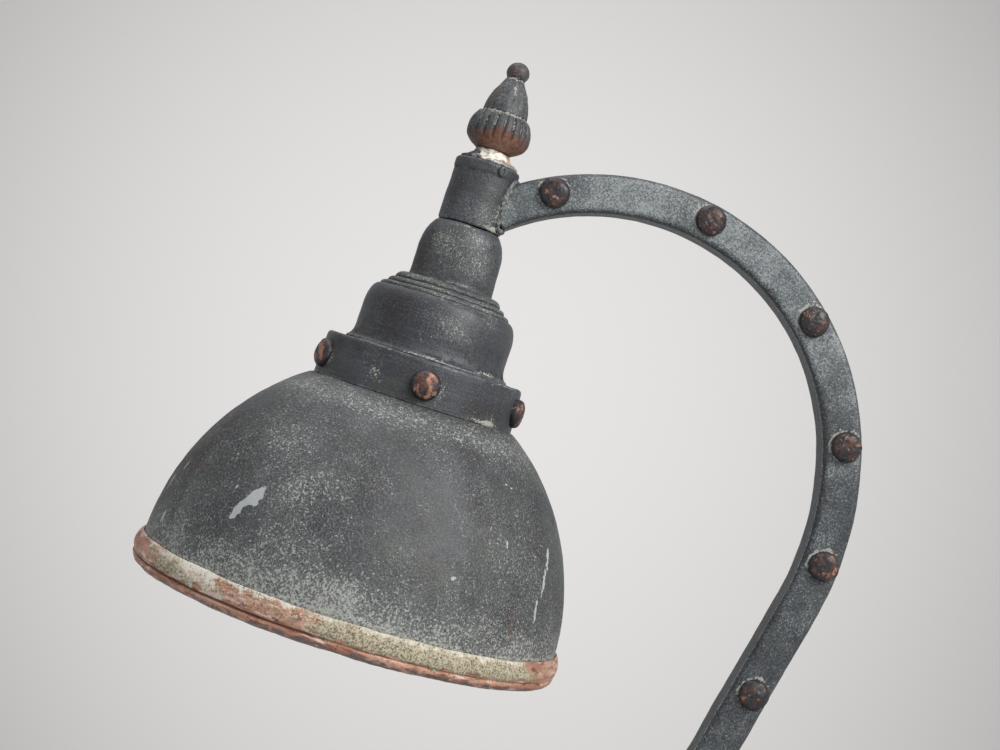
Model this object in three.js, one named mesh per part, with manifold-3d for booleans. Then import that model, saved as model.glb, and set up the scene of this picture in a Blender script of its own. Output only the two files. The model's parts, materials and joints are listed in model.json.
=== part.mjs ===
// Riveted crook-arm desk lamp: a weighted base, a bent square-tube arm that turns on it, and a dome
// shade that turns below the arm's ferrule. Millimetres, +Z up, origin under the middle of the base.

import * as THREE from 'three';
import { mergeVertices } from 'three/addons/utils/BufferGeometryUtils.js';
import Module from 'manifold-3d';

const wasm = await Module();
wasm.setup();

// ---- Driving dimensions -------------------------------------------------------------------------

const GAP = 0.3;

// Flats round a turned piece, by its size.
const LARGE = 36;
const MIDDLE = 24;
const SMALL = 16;
const TINY = 8;

const degrees = THREE.MathUtils.degToRad;

// Arm: a square tube along a chain of straight stretches and arcs, from the foot up to the ferrule.
const TUBE = 20;
const TUBE_CORNER = 3.6;
const TUBE_WALL = 1.6;
const STEM_BOTTOM = 72;
const STEM_TOP = 114.4;
const ARM_LEAN = degrees(30.5);
const FOOT_BEND_R = 130;
const LOWER_BEND_R = 158;
const CROWN_R = 125.2;
const CROWN_SWEEP = degrees(115);
const ARM_STEPS = 44;

// The leaning stretch is as long as it takes for the crown to stand this far out from the stem.
const CROWN_REACH = 107;

// Rivet places along the arm's centre line, measured up from the foot of the tube.
const ARM_RIVET_STATIONS = [54, 124, 196, 268, 328, 392, 464, 543];
const ARM_RIVET_OUTWARD = 1.2;
const RIVET_HEAD_R = 7;
const ARM_RIVET_HEAD_R = 7.5;
const RIVET_HEAD_H = 4.4;
const RIVET_SHANK_R = 2.4;
const RIVET_TAIL_GAP = 0.9;

// Head: everything turned about the leaning axis of the shade. Heights H_ run up that axis from the
// middle of the rim.
const HEAD_LEAN = degrees(17.8);
const HEAD_X = -138.3;
const HEAD_Z = 297.5;

const WALL = 1.5;
const RIM_R = 108.9;
const DOME_R = 104.9;
const DOME_TOP_R = 53;
const H_RIM_BOTTOM = -7.9;
const H_RIM_TOP = 7.8;
const H_SKIRT_BOTTOM = -5.4;
const H_DOME_TOP = 103.5;
const H_COLLAR_BOTTOM = 105.5;
const H_COLLAR_TOP = 126;
const COLLAR_R = 50.4;
const COLLAR_WALL = 2.6;
const COLLAR_RIVETS = 5;
const COLLAR_RIVET_TURN = degrees(-86);
const H_COLLAR_RIVET = 114.4;
const CUP_R = 38.3;
const H_CUP_BOTTOM = H_COLLAR_TOP + GAP;
const H_CUP_TOP = 164.6;
const NECK_R = 21.3;
const H_NECK_BOTTOM = H_CUP_TOP + GAP;
const H_SEAM = 195;
const FERRULE_R = 16.2;
const H_FERRULE_BOTTOM = H_SEAM + 0.6;
const H_FERRULE_FLOOR = 199.6;
const H_FERRULE_LID = 222.4;
const H_FERRULE_TOP = 227.8;
const STUD_R = 3;
const NIPPLE_R = 5;
const NIPPLE_BORE_R = 3.2;
const SWIVEL_BORE_R = NIPPLE_R + 0.4;

// Base: out of the same family as the head, a low dome with a rolled bead and a riveted collar.
const BASE_R = 100;
const BASE_WALL_R = 95.6;
const PAD_T = 3;
const PLATE_T = 4;
const BALLAST_R = 82;
const BALLAST_BOTTOM = 7.6;
const BALLAST_TOP = 27.6;
const BALLAST_EYE_R = 24;
const BASE_COLLAR_R = 36;
const BASE_COLLAR_TOP = 56.3;
const BASE_RIVET_Z = 48.2;
const SPIGOT_R = 8;
const SPIGOT_BOTTOM = 38;
const FOOT_BOTTOM = 58.3;
const FOOT_TOP = 92;
const WIRE_R = 2.2;

// ---- Materials ----------------------------------------------------------------------------------

const finish = (color, roughness, metalness) =>
  new THREE.MeshStandardMaterial({ color, roughness, metalness });

const weatheredSteel = finish(0x45484c, 0.62, 0.55);
const armSteel = finish(0x5b646b, 0.6, 0.55);
const wornCopper = finish(0xb0745a, 0.5, 0.8);
const rivetIron = finish(0x6a4a3e, 0.5, 0.7);
const paleMetal = finish(0xc9bfae, 0.6, 0.4);
const bareSteel = finish(0x9a9ca0, 0.4, 0.9);
const brass = finish(0xb08d4a, 0.35, 0.9);
const castIron = finish(0x2e2e30, 0.8, 0.5);
const felt = finish(0x2b3a30, 1, 0);
const porcelain = finish(0xe6e2d8, 0.3, 0);
const bulbGlass = finish(0xf4f1e8, 0.08, 0);
const wireCotton = finish(0x3a2c24, 0.95, 0);
const bakelite = finish(0x231a17, 0.4, 0);
const nickel = finish(0xc2c0ba, 0.25, 1);

// ---- Solids -------------------------------------------------------------------------------------

/** Keeps only positions, and merges the vertices that faces share, so that a mesh is closed. */
function welded(geometry) {
  const bare = geometry.clone();
  bare.deleteAttribute('normal');
  bare.deleteAttribute('uv');
  return mergeVertices(bare, 1e-4);
}

function toSolid(geometry) {
  const mesh = welded(geometry);
  const vertProperties = new Float32Array(mesh.attributes.position.array);
  const triVerts = new Uint32Array(mesh.index.array);
  return new wasm.Manifold(new wasm.Mesh({ numProp: 3, vertProperties, triVerts }));
}

function toGeometry(solid) {
  const mesh = solid.getMesh();
  const geometry = new THREE.BufferGeometry();
  geometry.setAttribute('position', new THREE.BufferAttribute(mesh.vertProperties, 3));
  geometry.setIndex(new THREE.BufferAttribute(mesh.triVerts, 1));
  return geometry;
}

const cut = (body, ...tools) =>
  toGeometry(tools.reduce((solid, tool) => solid.subtract(toSolid(tool)), toSolid(body)));

const join = (body, ...others) =>
  toGeometry(others.reduce((solid, other) => solid.add(toSolid(other)), toSolid(body)));

/** Twice the signed area of an outline: positive when it runs anticlockwise. */
function doubleArea(points) {
  return points.reduce((sum, p, i) => {
    const q = points[(i + 1) % points.length];
    return sum + p.x * q.y - q.x * p.y;
  }, 0);
}

/** A solid of revolution about +Z. The outline is in (radius, height). */
function turned(outline, segments, curveSteps = 3) {
  const points = Array.isArray(outline)
    ? outline.map(([r, h]) => new THREE.Vector2(r, h))
    : outline.getPoints(curveSteps);
  if (doubleArea(points) < 0) points.reverse();
  return new THREE.LatheGeometry(points, segments).rotateX(Math.PI / 2);
}

/** A ring of rectangular section, such as a washer or a tube. */
function ring(innerR, outerR, bottom, top, segments) {
  return turned(
    [[innerR, bottom], [outerR, bottom], [outerR, top], [innerR, top], [innerR, bottom]],
    segments,
  );
}

/** A round bar along +Z. */
function rod(radius, bottom, top, segments) {
  return turned([[0, bottom], [radius, bottom], [radius, top], [0, top]], segments);
}

/** A hexagon nut about +Z. */
function nut(boreR, acrossFlats, bottom, top) {
  const outline = new THREE.Shape();
  for (let corner = 0; corner < 6; corner += 1) {
    const angle = (corner * Math.PI) / 3;
    const reach = acrossFlats / Math.sqrt(3);
    const step = corner === 0 ? 'moveTo' : 'lineTo';
    outline[step](reach * Math.cos(angle), reach * Math.sin(angle));
  }
  outline.closePath();
  outline.holes.push(new THREE.Path().absarc(0, 0, boreR, 0, 2 * Math.PI, true));
  const depth = top - bottom;
  return new THREE.ExtrudeGeometry(outline, { depth, bevelEnabled: false, curveSegments: 6 })
    .translate(0, 0, bottom);
}

/** A box by its size and middle. */
function block([width, depth, height], [x, y, z]) {
  return new THREE.BoxGeometry(width, depth, height).translate(x, y, z);
}

/** Turns a +Z solid so that it points outwards at a compass angle from +X. */
function radial(geometry, angle, height) {
  return geometry.rotateY(Math.PI / 2).rotateZ(angle).translate(0, 0, height);
}

/** Adds a rivet's domed head to an outline, from its flat back out to the crown. */
function domedHead(outline, r, back, side) {
  const crown = back + side * RIVET_HEAD_H;
  outline.lineTo(r, back);
  outline.bezierCurveTo(r, back + 0.55 * side * RIVET_HEAD_H, 0.55 * r, crown, 0, crown);
}

/** A rivet along +Z with a flat tail below and a domed head whose back is at height 0. */
function tailedRivet(grip) {
  const tail = { r: 3.9, h: 1.4 };
  const outline = new THREE.Path();
  outline.moveTo(0, -grip - tail.h);
  outline.lineTo(tail.r, -grip - tail.h);
  outline.lineTo(tail.r, -grip);
  outline.lineTo(RIVET_SHANK_R, -grip);
  outline.lineTo(RIVET_SHANK_R, 0);
  domedHead(outline, RIVET_HEAD_R, 0, 1);
  return turned(outline, TINY, 3);
}

/** A through rivet along +Z with a domed head on each side of a bar of this thickness. */
function throughRivet(thickness) {
  const back = thickness / 2 + GAP;
  const upper = new THREE.Path();
  upper.moveTo(RIVET_SHANK_R, back);
  domedHead(upper, ARM_RIVET_HEAD_R, back, 1);
  const points = upper.getPoints(3).map(({ x, y }) => [x, y]);
  const lower = points.map(([x, y]) => [x, -y]).reverse();
  return turned([...lower, ...points], TINY);
}

/** Evenly spaced angles round a circle. */
const around = (count, start) =>
  Array.from({ length: count }, (_, i) => start + (2 * Math.PI * i) / count);

// ---- The arm's centre line ----------------------------------------------------------------------

/** A flat chain of straight stretches and arcs in the XZ plane. A positive turn bends towards +X. */
class BentLine extends THREE.Curve {
  constructor(start, stretches) {
    super();
    this.start = start;
    this.stretches = stretches;
    this.total = stretches.reduce((sum, stretch) => sum + stretch.length, 0);
  }

  /** The place and the heading, in radians from +Z towards +X, at a distance along the line. */
  at(distance) {
    let { x, z } = this.start;
    let heading = 0;
    let left = distance;
    for (const { length, turn } of this.stretches) {
      const run = Math.min(left, length);
      const next = heading + (turn * run) / length;
      if (turn === 0) {
        x += run * Math.sin(heading);
        z += run * Math.cos(heading);
      } else {
        const radius = length / turn;
        x += radius * (Math.cos(heading) - Math.cos(next));
        z += radius * (Math.sin(next) - Math.sin(heading));
      }
      heading = next;
      left -= run;
      if (left <= 0) break;
    }
    return { x, z, heading };
  }

  /** A point beside the line, on the side that the crook curls round when aside is positive. */
  beside(distance, aside) {
    const { x, z, heading } = this.at(distance);
    return new THREE.Vector3(x - aside * Math.cos(heading), 0, z + aside * Math.sin(heading));
  }

  getPoint(t) {
    return this.beside(t * this.total, 0);
  }
}

const bendDrop = (radius) => radius * (1 - Math.cos(ARM_LEAN));
const leanLength =
  (CROWN_REACH - bendDrop(FOOT_BEND_R) - bendDrop(LOWER_BEND_R)) / Math.sin(ARM_LEAN);

const armLine = new BentLine({ x: 0, z: STEM_BOTTOM }, [
  { length: STEM_TOP - STEM_BOTTOM, turn: 0 },
  { length: FOOT_BEND_R * ARM_LEAN, turn: ARM_LEAN },
  { length: leanLength, turn: 0 },
  { length: LOWER_BEND_R * ARM_LEAN, turn: -ARM_LEAN },
  { length: CROWN_R * CROWN_SWEEP, turn: -CROWN_SWEEP },
]);

// ---- Scene graph --------------------------------------------------------------------------------

const lamp = new THREE.Group();
const base = new THREE.Group();
const arm = new THREE.Group();

/** A group whose +Z is the leaning axis of the head, with its origin in the middle of the rim. */
function headFrame() {
  const group = new THREE.Group();
  group.position.set(HEAD_X, 0, HEAD_Z);
  group.rotation.y = HEAD_LEAN;
  group.updateMatrixWorld();
  return group;
}

const armHead = headFrame();
const shade = headFrame();
lamp.add(base, arm, armHead, shade);

function add(group, name, material, geometry) {
  const mesh = new THREE.Mesh(geometry, material);
  mesh.name = name;
  group.add(mesh);
  return mesh;
}

// ---- Base ---------------------------------------------------------------------------------------

const plateBottom = PAD_T + GAP;
const plateTop = plateBottom + PLATE_T;
const SCREW_CIRCLE_R = 60;
const screwPlaces = around(3, degrees(30)).map((a) => [
  SCREW_CIRCLE_R * Math.cos(a),
  SCREW_CIRCLE_R * Math.sin(a),
]);

add(base, 'felt_pad', felt, rod(BASE_R - 7, 0, PAD_T, LARGE));

/** Bottom plate, with three counterbored holes for its screws. */
function bottomPlate() {
  const disc = rod(BASE_R - 6, plateBottom, plateTop, LARGE);
  const holes = screwPlaces.flatMap(([x, y]) => [
    rod(2.3, plateBottom - 1, plateTop + 1, TINY).translate(x, y, 0),
    rod(4.2, plateBottom - 1, plateBottom + 2.6, TINY).translate(x, y, 0),
  ]);
  return cut(disc, ...holes);
}

add(base, 'bottom_plate', bareSteel, bottomPlate());

screwPlaces.forEach(([x, y], i) => {
  const head = plateBottom + GAP;
  const shoulder = plateBottom + 2.3;
  const screw = turned(
    [[0, head], [3.8, head], [3.8, shoulder], [1.9, shoulder], [1.9, 19], [0, 19]],
    TINY,
  );
  add(base, `plate_screw_${i + 1}`, bareSteel, screw.translate(x, y, 0));
});

// Toggle switch: on the front shoulder of the base, square to the sloping shell.
const SWITCH_RADIUS = 66;
const SWITCH_Z = 36.6;
const SWITCH_LEAN = degrees(15.5);
const SWITCH_BODY = [13, 19, 15];
const WIRE_SLOT_FLOOR = 15;
const BASE_WIRE_Z = 21;

/** Moves a +Z solid to the switch's place and lean. */
const atSwitch = (geometry) =>
  geometry.rotateX(SWITCH_LEAN).translate(0, -SWITCH_RADIUS, SWITCH_Z);

/** Cast ring with a pocket for the switch, a slot for the lead and three blind screw holes. */
function ballast() {
  const body = ring(BALLAST_EYE_R, BALLAST_R, BALLAST_BOTTOM, BALLAST_TOP, MIDDLE);
  const pocket = block([22, 34, 16], [0, -SWITCH_RADIUS + 2, 22]);
  const slot = block([9, 80, 20], [0, 60, WIRE_SLOT_FLOOR + 10]);
  const holes = screwPlaces.map(([x, y]) => rod(2.3, 0, 20, TINY).translate(x, y, 0));
  return cut(body, pocket, slot, ...holes);
}

add(base, 'ballast', castIron, ballast());

const BASE_SHELL_BOTTOM = 9;
const UPSTAND_R = 32.2;
const UPSTAND_TOP = 51.6;

/** The rivets' holes through the base's collar and upstand. */
function baseRivetHoles() {
  return around(COLLAR_RIVETS, COLLAR_RIVET_TURN).map((a) =>
    radial(rod(RIVET_SHANK_R + 0.4, 20, 45, TINY), a, BASE_RIVET_Z));
}

/** Low spun dome with an upstand for the collar, open below. */
function baseShell() {
  const outline = new THREE.Path();
  outline.moveTo(BASE_WALL_R, BASE_SHELL_BOTTOM);
  outline.lineTo(BASE_WALL_R, 12);
  outline.bezierCurveTo(BASE_WALL_R, 31, 75, 37.5, 38, 41);
  outline.lineTo(UPSTAND_R, 41.4);
  outline.lineTo(UPSTAND_R, UPSTAND_TOP);
  outline.lineTo(UPSTAND_R - WALL, UPSTAND_TOP);
  outline.lineTo(UPSTAND_R - WALL, 39.9);
  outline.lineTo(38, 39.5);
  outline.bezierCurveTo(74, 36, BASE_WALL_R - WALL, 30, BASE_WALL_R - WALL, 12);
  outline.lineTo(BASE_WALL_R - WALL, BASE_SHELL_BOTTOM);
  outline.closePath();
  const body = turned(outline, LARGE, 4);
  const switchHole = atSwitch(rod(6.3, -8, 12, SMALL));
  const glandHole = radial(rod(4.9, 80, 110, SMALL), Math.PI / 2, BASE_WIRE_Z);
  return cut(body, switchHole, glandHole, ...baseRivetHoles());
}

add(base, 'base_shell', weatheredSteel, baseShell());

/** Rolled bead: a bulging band, a groove, then a roll that tucks in under the edge of the shell. */
function bead({ wallR, outerR, bottom, top, tuck, hookTop }) {
  const outline = new THREE.Path();
  const hookR = outerR - tuck - 1;
  outline.moveTo(hookR, bottom + 1);
  outline.lineTo(outerR - tuck, bottom);
  outline.quadraticCurveTo(outerR - 0.3 * tuck, bottom + 0.4, outerR - 1.3, bottom + 4.4);
  outline.lineTo(outerR - 1.8, bottom + 5);
  outline.lineTo(outerR - 0.5, bottom + 5.8);
  outline.bezierCurveTo(outerR + 0.3, bottom + 9.4, outerR - 0.8, top - 2.4, wallR + GAP, top);
  outline.lineTo(wallR + GAP, hookTop);
  outline.lineTo(hookR, hookTop);
  outline.closePath();
  return turned(outline, LARGE, 2);
}

add(base, 'base_bead', wornCopper,
  bead({
    wallR: BASE_WALL_R,
    outerR: BASE_R,
    bottom: plateBottom,
    top: 14.4,
    tuck: 4.2,
    hookTop: BASE_SHELL_BOTTOM - GAP,
  }));

/** Collar ring with a top plate that carries the pivot. */
function baseCollar() {
  const outline = new THREE.Path();
  const innerR = UPSTAND_R + GAP;
  outline.moveTo(innerR, 41.8);
  outline.lineTo(BASE_COLLAR_R + 0.4, 41.8);
  outline.lineTo(BASE_COLLAR_R - 0.4, BASE_COLLAR_TOP - 2);
  outline.quadraticCurveTo(
    BASE_COLLAR_R - 0.5, BASE_COLLAR_TOP, BASE_COLLAR_R - 2.6, BASE_COLLAR_TOP,
  );
  outline.lineTo(SPIGOT_R + 0.4, BASE_COLLAR_TOP);
  outline.lineTo(SPIGOT_R + 0.4, BASE_COLLAR_TOP - 3.6);
  outline.lineTo(innerR, BASE_COLLAR_TOP - 3.6);
  outline.closePath();
  return cut(turned(outline, LARGE, 2), ...baseRivetHoles());
}

add(base, 'base_collar', weatheredSteel, baseCollar());

around(COLLAR_RIVETS, COLLAR_RIVET_TURN).forEach((angle, i) => {
  const headBack = BASE_COLLAR_R + 0.4 + GAP;
  const grip = headBack - (UPSTAND_R - WALL) + RIVET_TAIL_GAP;
  const piece = tailedRivet(grip).translate(0, 0, headBack);
  add(base, `base_rivet_${i + 1}`, rivetIron, radial(piece, angle, BASE_RIVET_Z));
});

add(base, 'pivot_washer', brass,
  ring(SPIGOT_R + 0.4, 23, BASE_COLLAR_TOP + GAP, FOOT_BOTTOM - GAP, MIDDLE));

/** Switch case under the shell with its threaded bush, bored for the lever. */
function switchBody() {
  const [width, depth, height] = SWITCH_BODY;
  const caseTop = -3;
  const box = block([width, depth, height], [0, 0, caseTop - height / 2]);
  const bush = rod(5.9, caseTop - 0.5, 6.4, SMALL);
  const bore = rod(3.9, -6, 8, TINY);
  return atSwitch(cut(join(box, bush), bore));
}

add(base, 'switch_body', bakelite, switchBody());
add(base, 'switch_nut', nickel, atSwitch(nut(6.2, 17, 1, 3.6)));

// The lever leans to the "off" side at rest and rocks the other way by twice its throw.
const SWITCH_THROW = degrees(13);
const SWITCH_PIVOT = 0.5;

function switchLever() {
  const outline = new THREE.Path();
  outline.moveTo(0, -3);
  outline.lineTo(1.7, -2.4);
  outline.lineTo(1.5, 6);
  outline.lineTo(2.6, 17);
  outline.quadraticCurveTo(2.8, 19.6, 0, 19.8);
  const bat = turned(outline, TINY, 2);
  return atSwitch(bat.rotateX(SWITCH_THROW).translate(0, 0, SWITCH_PIVOT));
}

add(base, 'switch_lever', nickel, switchLever());

// Cable gland in the back of the shell: a flanged bush and its nut.
const GLAND_BORE_R = WIRE_R + 1;
const GLAND_INSIDE = 82.3;
const GLAND_FLANGE_R = 6.6;
const GLAND_BODY_R = 4.4;
const glandOutline = [
  [GLAND_BORE_R, GLAND_INSIDE], [GLAND_BODY_R, GLAND_INSIDE],
  [GLAND_BODY_R, BASE_WALL_R + GAP], [GLAND_FLANGE_R, BASE_WALL_R + GAP],
  [GLAND_FLANGE_R, BASE_WALL_R + 2], [5, BASE_WALL_R + 5.4], [GLAND_BORE_R, BASE_WALL_R + 5.4],
  [GLAND_BORE_R, GLAND_INSIDE],
];
add(base, 'cable_gland', bakelite, radial(turned(glandOutline, SMALL), Math.PI / 2, BASE_WIRE_Z));
add(base, 'gland_nut', bareSteel, radial(nut(GLAND_BODY_R + GAP, 11, 82.6, 84.6), Math.PI / 2, BASE_WIRE_Z));

/** A round wire along a smooth line. */
function wire(points, steps) {
  const section = new THREE.Shape().absarc(0, 0, WIRE_R, 0, 2 * Math.PI);
  const extrudePath = new THREE.CatmullRomCurve3(points, false, 'centripetal');
  return new THREE.ExtrudeGeometry(section, { steps, extrudePath, curveSegments: 3 });
}

const baseWirePoints = [
  [0, GLAND_INSIDE + 4, BASE_WIRE_Z], [0, 78, BASE_WIRE_Z], [0, 60, BASE_WIRE_Z], [0, 38, BASE_WIRE_Z],
  [0, 16, BASE_WIRE_Z + 0.6], [0, 7, BASE_WIRE_Z + 3], [0, 1.6, BASE_WIRE_Z + 8.5],
  [0, 0, SPIGOT_BOTTOM - 6], [0, 0, SPIGOT_BOTTOM - 1.5],
].map((p) => new THREE.Vector3(...p));
add(base, 'base_wire', wireCotton, wire(baseWirePoints, 18));

// ---- Arm ----------------------------------------------------------------------------------------

/** The square section with round corners, as an outline for an extrusion. */
function squareSection(side, corner) {
  const half = side / 2;
  const inset = half - corner;
  const outline = new THREE.Shape();
  outline.moveTo(half, -inset);
  outline.absarc(inset, inset, corner, 0, Math.PI / 2);
  outline.absarc(-inset, inset, corner, Math.PI / 2, Math.PI);
  outline.absarc(-inset, -inset, corner, Math.PI, 1.5 * Math.PI);
  outline.absarc(inset, -inset, corner, 1.5 * Math.PI, 2 * Math.PI);
  return outline;
}

/** The foot that grips the tube and turns on its spigot in the base collar. */
function armFoot() {
  const outline = new THREE.Path();
  const boreR = WIRE_R + 1.6;
  outline.moveTo(boreR, SPIGOT_BOTTOM);
  outline.lineTo(SPIGOT_R, SPIGOT_BOTTOM);
  outline.lineTo(SPIGOT_R, FOOT_BOTTOM);
  outline.lineTo(24, FOOT_BOTTOM);
  outline.lineTo(24, FOOT_BOTTOM + 3);
  outline.quadraticCurveTo(18.6, FOOT_BOTTOM + 4, 18, FOOT_BOTTOM + 9);
  outline.lineTo(17.4, FOOT_TOP - 2);
  outline.lineTo(16, FOOT_TOP);
  outline.lineTo(boreR, FOOT_TOP);
  outline.closePath();
  const socket = new THREE.ExtrudeGeometry(squareSection(TUBE + 2 * GAP, TUBE_CORNER), {
    depth: FOOT_TOP, bevelEnabled: false, curveSegments: 1,
  }).translate(0, 0, STEM_BOTTOM - GAP);
  return cut(turned(outline, MIDDLE, 2), socket);
}

add(arm, 'arm_foot', weatheredSteel, armFoot());
add(arm, 'pivot_nut', bareSteel, nut(SPIGOT_R + GAP, 24, 43.4, BASE_COLLAR_TOP - 4));

const armRivetPlaces = ARM_RIVET_STATIONS.map((s) => armLine.beside(s, -ARM_RIVET_OUTWARD));

/** Square tube swept along the bent line, coped to the ferrule and drilled for its rivets. */
function armTube() {
  const sweep = (section) =>
    new THREE.ExtrudeGeometry(section, {
      steps: ARM_STEPS, extrudePath: armLine, curveSegments: 1,
    });
  const boreHalf = TUBE / 2 - TUBE_WALL;
  const boreSection = new THREE.Shape([
    new THREE.Vector2(boreHalf, -boreHalf),
    new THREE.Vector2(boreHalf, boreHalf),
    new THREE.Vector2(-boreHalf, boreHalf),
    new THREE.Vector2(-boreHalf, -boreHalf),
  ]);
  const outside = sweep(squareSection(TUBE, TUBE_CORNER));
  const inside = sweep(boreSection);
  const cope = rod(FERRULE_R + 2 * GAP, 150, 260, MIDDLE).applyMatrix4(armHead.matrixWorld);
  const holes = armRivetPlaces.map(({ x, z }) =>
    rod(RIVET_SHANK_R + 0.4, -TUBE, TUBE, 8).rotateX(Math.PI / 2).translate(x, 0, z));
  // The bore runs out through the foot end, so the swept inside is carried a little past it.
  const mouth = block([2 * boreHalf, 2 * boreHalf, 2], [0, 0, STEM_BOTTOM]);
  return cut(outside, inside, mouth, cope, ...holes);
}

add(arm, 'arm_tube', armSteel, armTube());

armRivetPlaces.forEach(({ x, z }, i) => {
  const piece = throughRivet(TUBE).rotateX(Math.PI / 2).translate(x, 0, z);
  add(arm, `arm_rivet_${i + 1}`, rivetIron, piece);
});

const FERRULE_SCREW_TURN = degrees(-63);
const H_FERRULE_SCREW = 225;

/** Round socket at the end of the arm, hollow for the wire, bored below for the swivel nipple. */
function ferrule() {
  const outline = new THREE.Path();
  outline.moveTo(SWIVEL_BORE_R, H_FERRULE_BOTTOM);
  outline.lineTo(FERRULE_R - 0.4, H_FERRULE_BOTTOM);
  outline.lineTo(FERRULE_R, H_FERRULE_BOTTOM + 0.8);
  outline.lineTo(FERRULE_R - 0.3, H_FERRULE_TOP - 5.6);
  outline.lineTo(FERRULE_R + 0.1, H_FERRULE_TOP - 4.4);
  outline.quadraticCurveTo(FERRULE_R + 0.3, H_FERRULE_TOP, FERRULE_R - 1.3, H_FERRULE_TOP);
  outline.lineTo(STUD_R + 0.4, H_FERRULE_TOP);
  outline.lineTo(STUD_R + 0.4, H_FERRULE_LID);
  outline.lineTo(FERRULE_R - 3.6, H_FERRULE_LID);
  outline.lineTo(FERRULE_R - 3.6, H_FERRULE_FLOOR);
  outline.lineTo(SWIVEL_BORE_R, H_FERRULE_FLOOR);
  outline.closePath();
  const end = armLine.at(armLine.total - 12);
  const window = block([14, 14, 22], [0, 0, 0]).rotateY(end.heading).translate(end.x, 0, end.z);
  window.applyMatrix4(armHead.matrixWorld.clone().invert());
  const screwHole = radial(rod(1.8, 0, 24, 8), FERRULE_SCREW_TURN, H_FERRULE_SCREW);
  return cut(turned(outline, MIDDLE, 2), window, screwHole);
}

add(armHead, 'ferrule', weatheredSteel, ferrule());

const ferruleScrew = turned([
  [0, STUD_R + 1], [1.4, STUD_R + 1], [1.4, FERRULE_R + 0.5], [2.5, FERRULE_R + 0.5],
  [2.3, FERRULE_R + 1.6], [0, FERRULE_R + 1.8],
], TINY);
add(armHead, 'ferrule_screw', bareSteel,
  radial(ferruleScrew, FERRULE_SCREW_TURN, H_FERRULE_SCREW));

const H_CAP_BOTTOM = H_FERRULE_TOP + GAP;
const H_CAP_TOP = 234.6;
const capOutline = new THREE.Path();
capOutline.moveTo(STUD_R + 0.4, H_CAP_BOTTOM);
capOutline.lineTo(14.6, H_CAP_BOTTOM);
capOutline.lineTo(14.2, H_CAP_BOTTOM + 1.4);
capOutline.quadraticCurveTo(10, H_CAP_BOTTOM + 3.6, 8.7, H_CAP_TOP);
capOutline.lineTo(STUD_R + 0.4, H_CAP_TOP);
capOutline.closePath();
add(armHead, 'ferrule_cap', paleMetal, turned(capOutline, MIDDLE, 2));

/** Finial: threaded stud, gadrooned cup, acorn and ball, turned from one piece. */
function finial() {
  const outline = new THREE.Path();
  const ball = { r: 5.7, h: 275.8 };
  outline.moveTo(0, H_FERRULE_LID + 0.6);
  outline.lineTo(STUD_R, H_FERRULE_LID + 0.6);
  outline.lineTo(STUD_R, H_CAP_TOP + GAP);
  outline.lineTo(8.8, H_CAP_TOP + GAP);
  outline.bezierCurveTo(11, 236.8, 14.9, 238, 15.6, 242.4);
  outline.bezierCurveTo(16.1, 246.8, 14.4, 250.4, 11.5, 252.8);
  outline.bezierCurveTo(11.3, 258.4, 9.2, 264.6, 5, 271.6);
  outline.absarc(0, ball.h, ball.r, degrees(-40), degrees(90));
  return turned(outline, SMALL, 2);
}

add(armHead, 'finial', weatheredSteel, finial());

// The lead inside the arm keeps to the crook's side of the rivets, then drops down the nipple.
const WIRE_ASIDE = 5.2;
const armWirePoints = [
  new THREE.Vector3(0, 0, SPIGOT_BOTTOM - 1),
  new THREE.Vector3(0, 0, FOOT_BOTTOM),
  new THREE.Vector3(0, 0, STEM_BOTTOM + 2),
  new THREE.Vector3(-0.6 * WIRE_ASIDE, 0, STEM_BOTTOM + 16),
];
const wireStart = 30;
const wireEnd = armLine.total - 34;
const WIRE_POINTS = 30;
for (let i = 0; i <= WIRE_POINTS; i += 1) {
  armWirePoints.push(
    armLine.beside(wireStart + ((wireEnd - wireStart) * i) / WIRE_POINTS, WIRE_ASIDE));
}
const headPoint = (r, h) => new THREE.Vector3(r, 0, h).applyMatrix4(armHead.matrixWorld);
armWirePoints.push(headPoint(17.5, 211), headPoint(9, 211.6), headPoint(2.6, 212.4));
armWirePoints.push(headPoint(0, 207), headPoint(0, 201), headPoint(0, H_SEAM + 0.4));
add(arm, 'arm_wire', wireCotton, wire(armWirePoints, 46));

// ---- Shade --------------------------------------------------------------------------------------

add(shade, 'swivel_nipple', brass, ring(NIPPLE_BORE_R, NIPPLE_R, 150, 207.4, SMALL));
add(shade, 'nipple_washer', brass,
  ring(SWIVEL_BORE_R, 10, H_FERRULE_FLOOR + GAP, H_FERRULE_FLOOR + 1.4, SMALL));
add(shade, 'nipple_nut', brass,
  nut(NIPPLE_R + GAP, 15, H_FERRULE_FLOOR + 1.7, H_FERRULE_FLOOR + 5.6));

/** Upper cup with a domed shoulder under the seam. */
function neckCup() {
  const outline = new THREE.Path();
  outline.moveTo(NECK_R - 2, H_NECK_BOTTOM);
  outline.lineTo(NECK_R + 0.3, H_NECK_BOTTOM);
  outline.lineTo(NECK_R, H_NECK_BOTTOM + 2);
  outline.lineTo(NECK_R - 0.2, 181);
  outline.quadraticCurveTo(NECK_R - 0.6, 190, FERRULE_R - 0.2, H_SEAM);
  outline.lineTo(SWIVEL_BORE_R, H_SEAM);
  outline.lineTo(SWIVEL_BORE_R, H_SEAM - 2.6);
  outline.lineTo(13, H_SEAM - 2.6);
  outline.quadraticCurveTo(NECK_R - 2.4, 188, NECK_R - 2.2, 180);
  outline.closePath();
  return turned(outline, MIDDLE, 2);
}

add(shade, 'neck_cup', weatheredSteel, neckCup());

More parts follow.
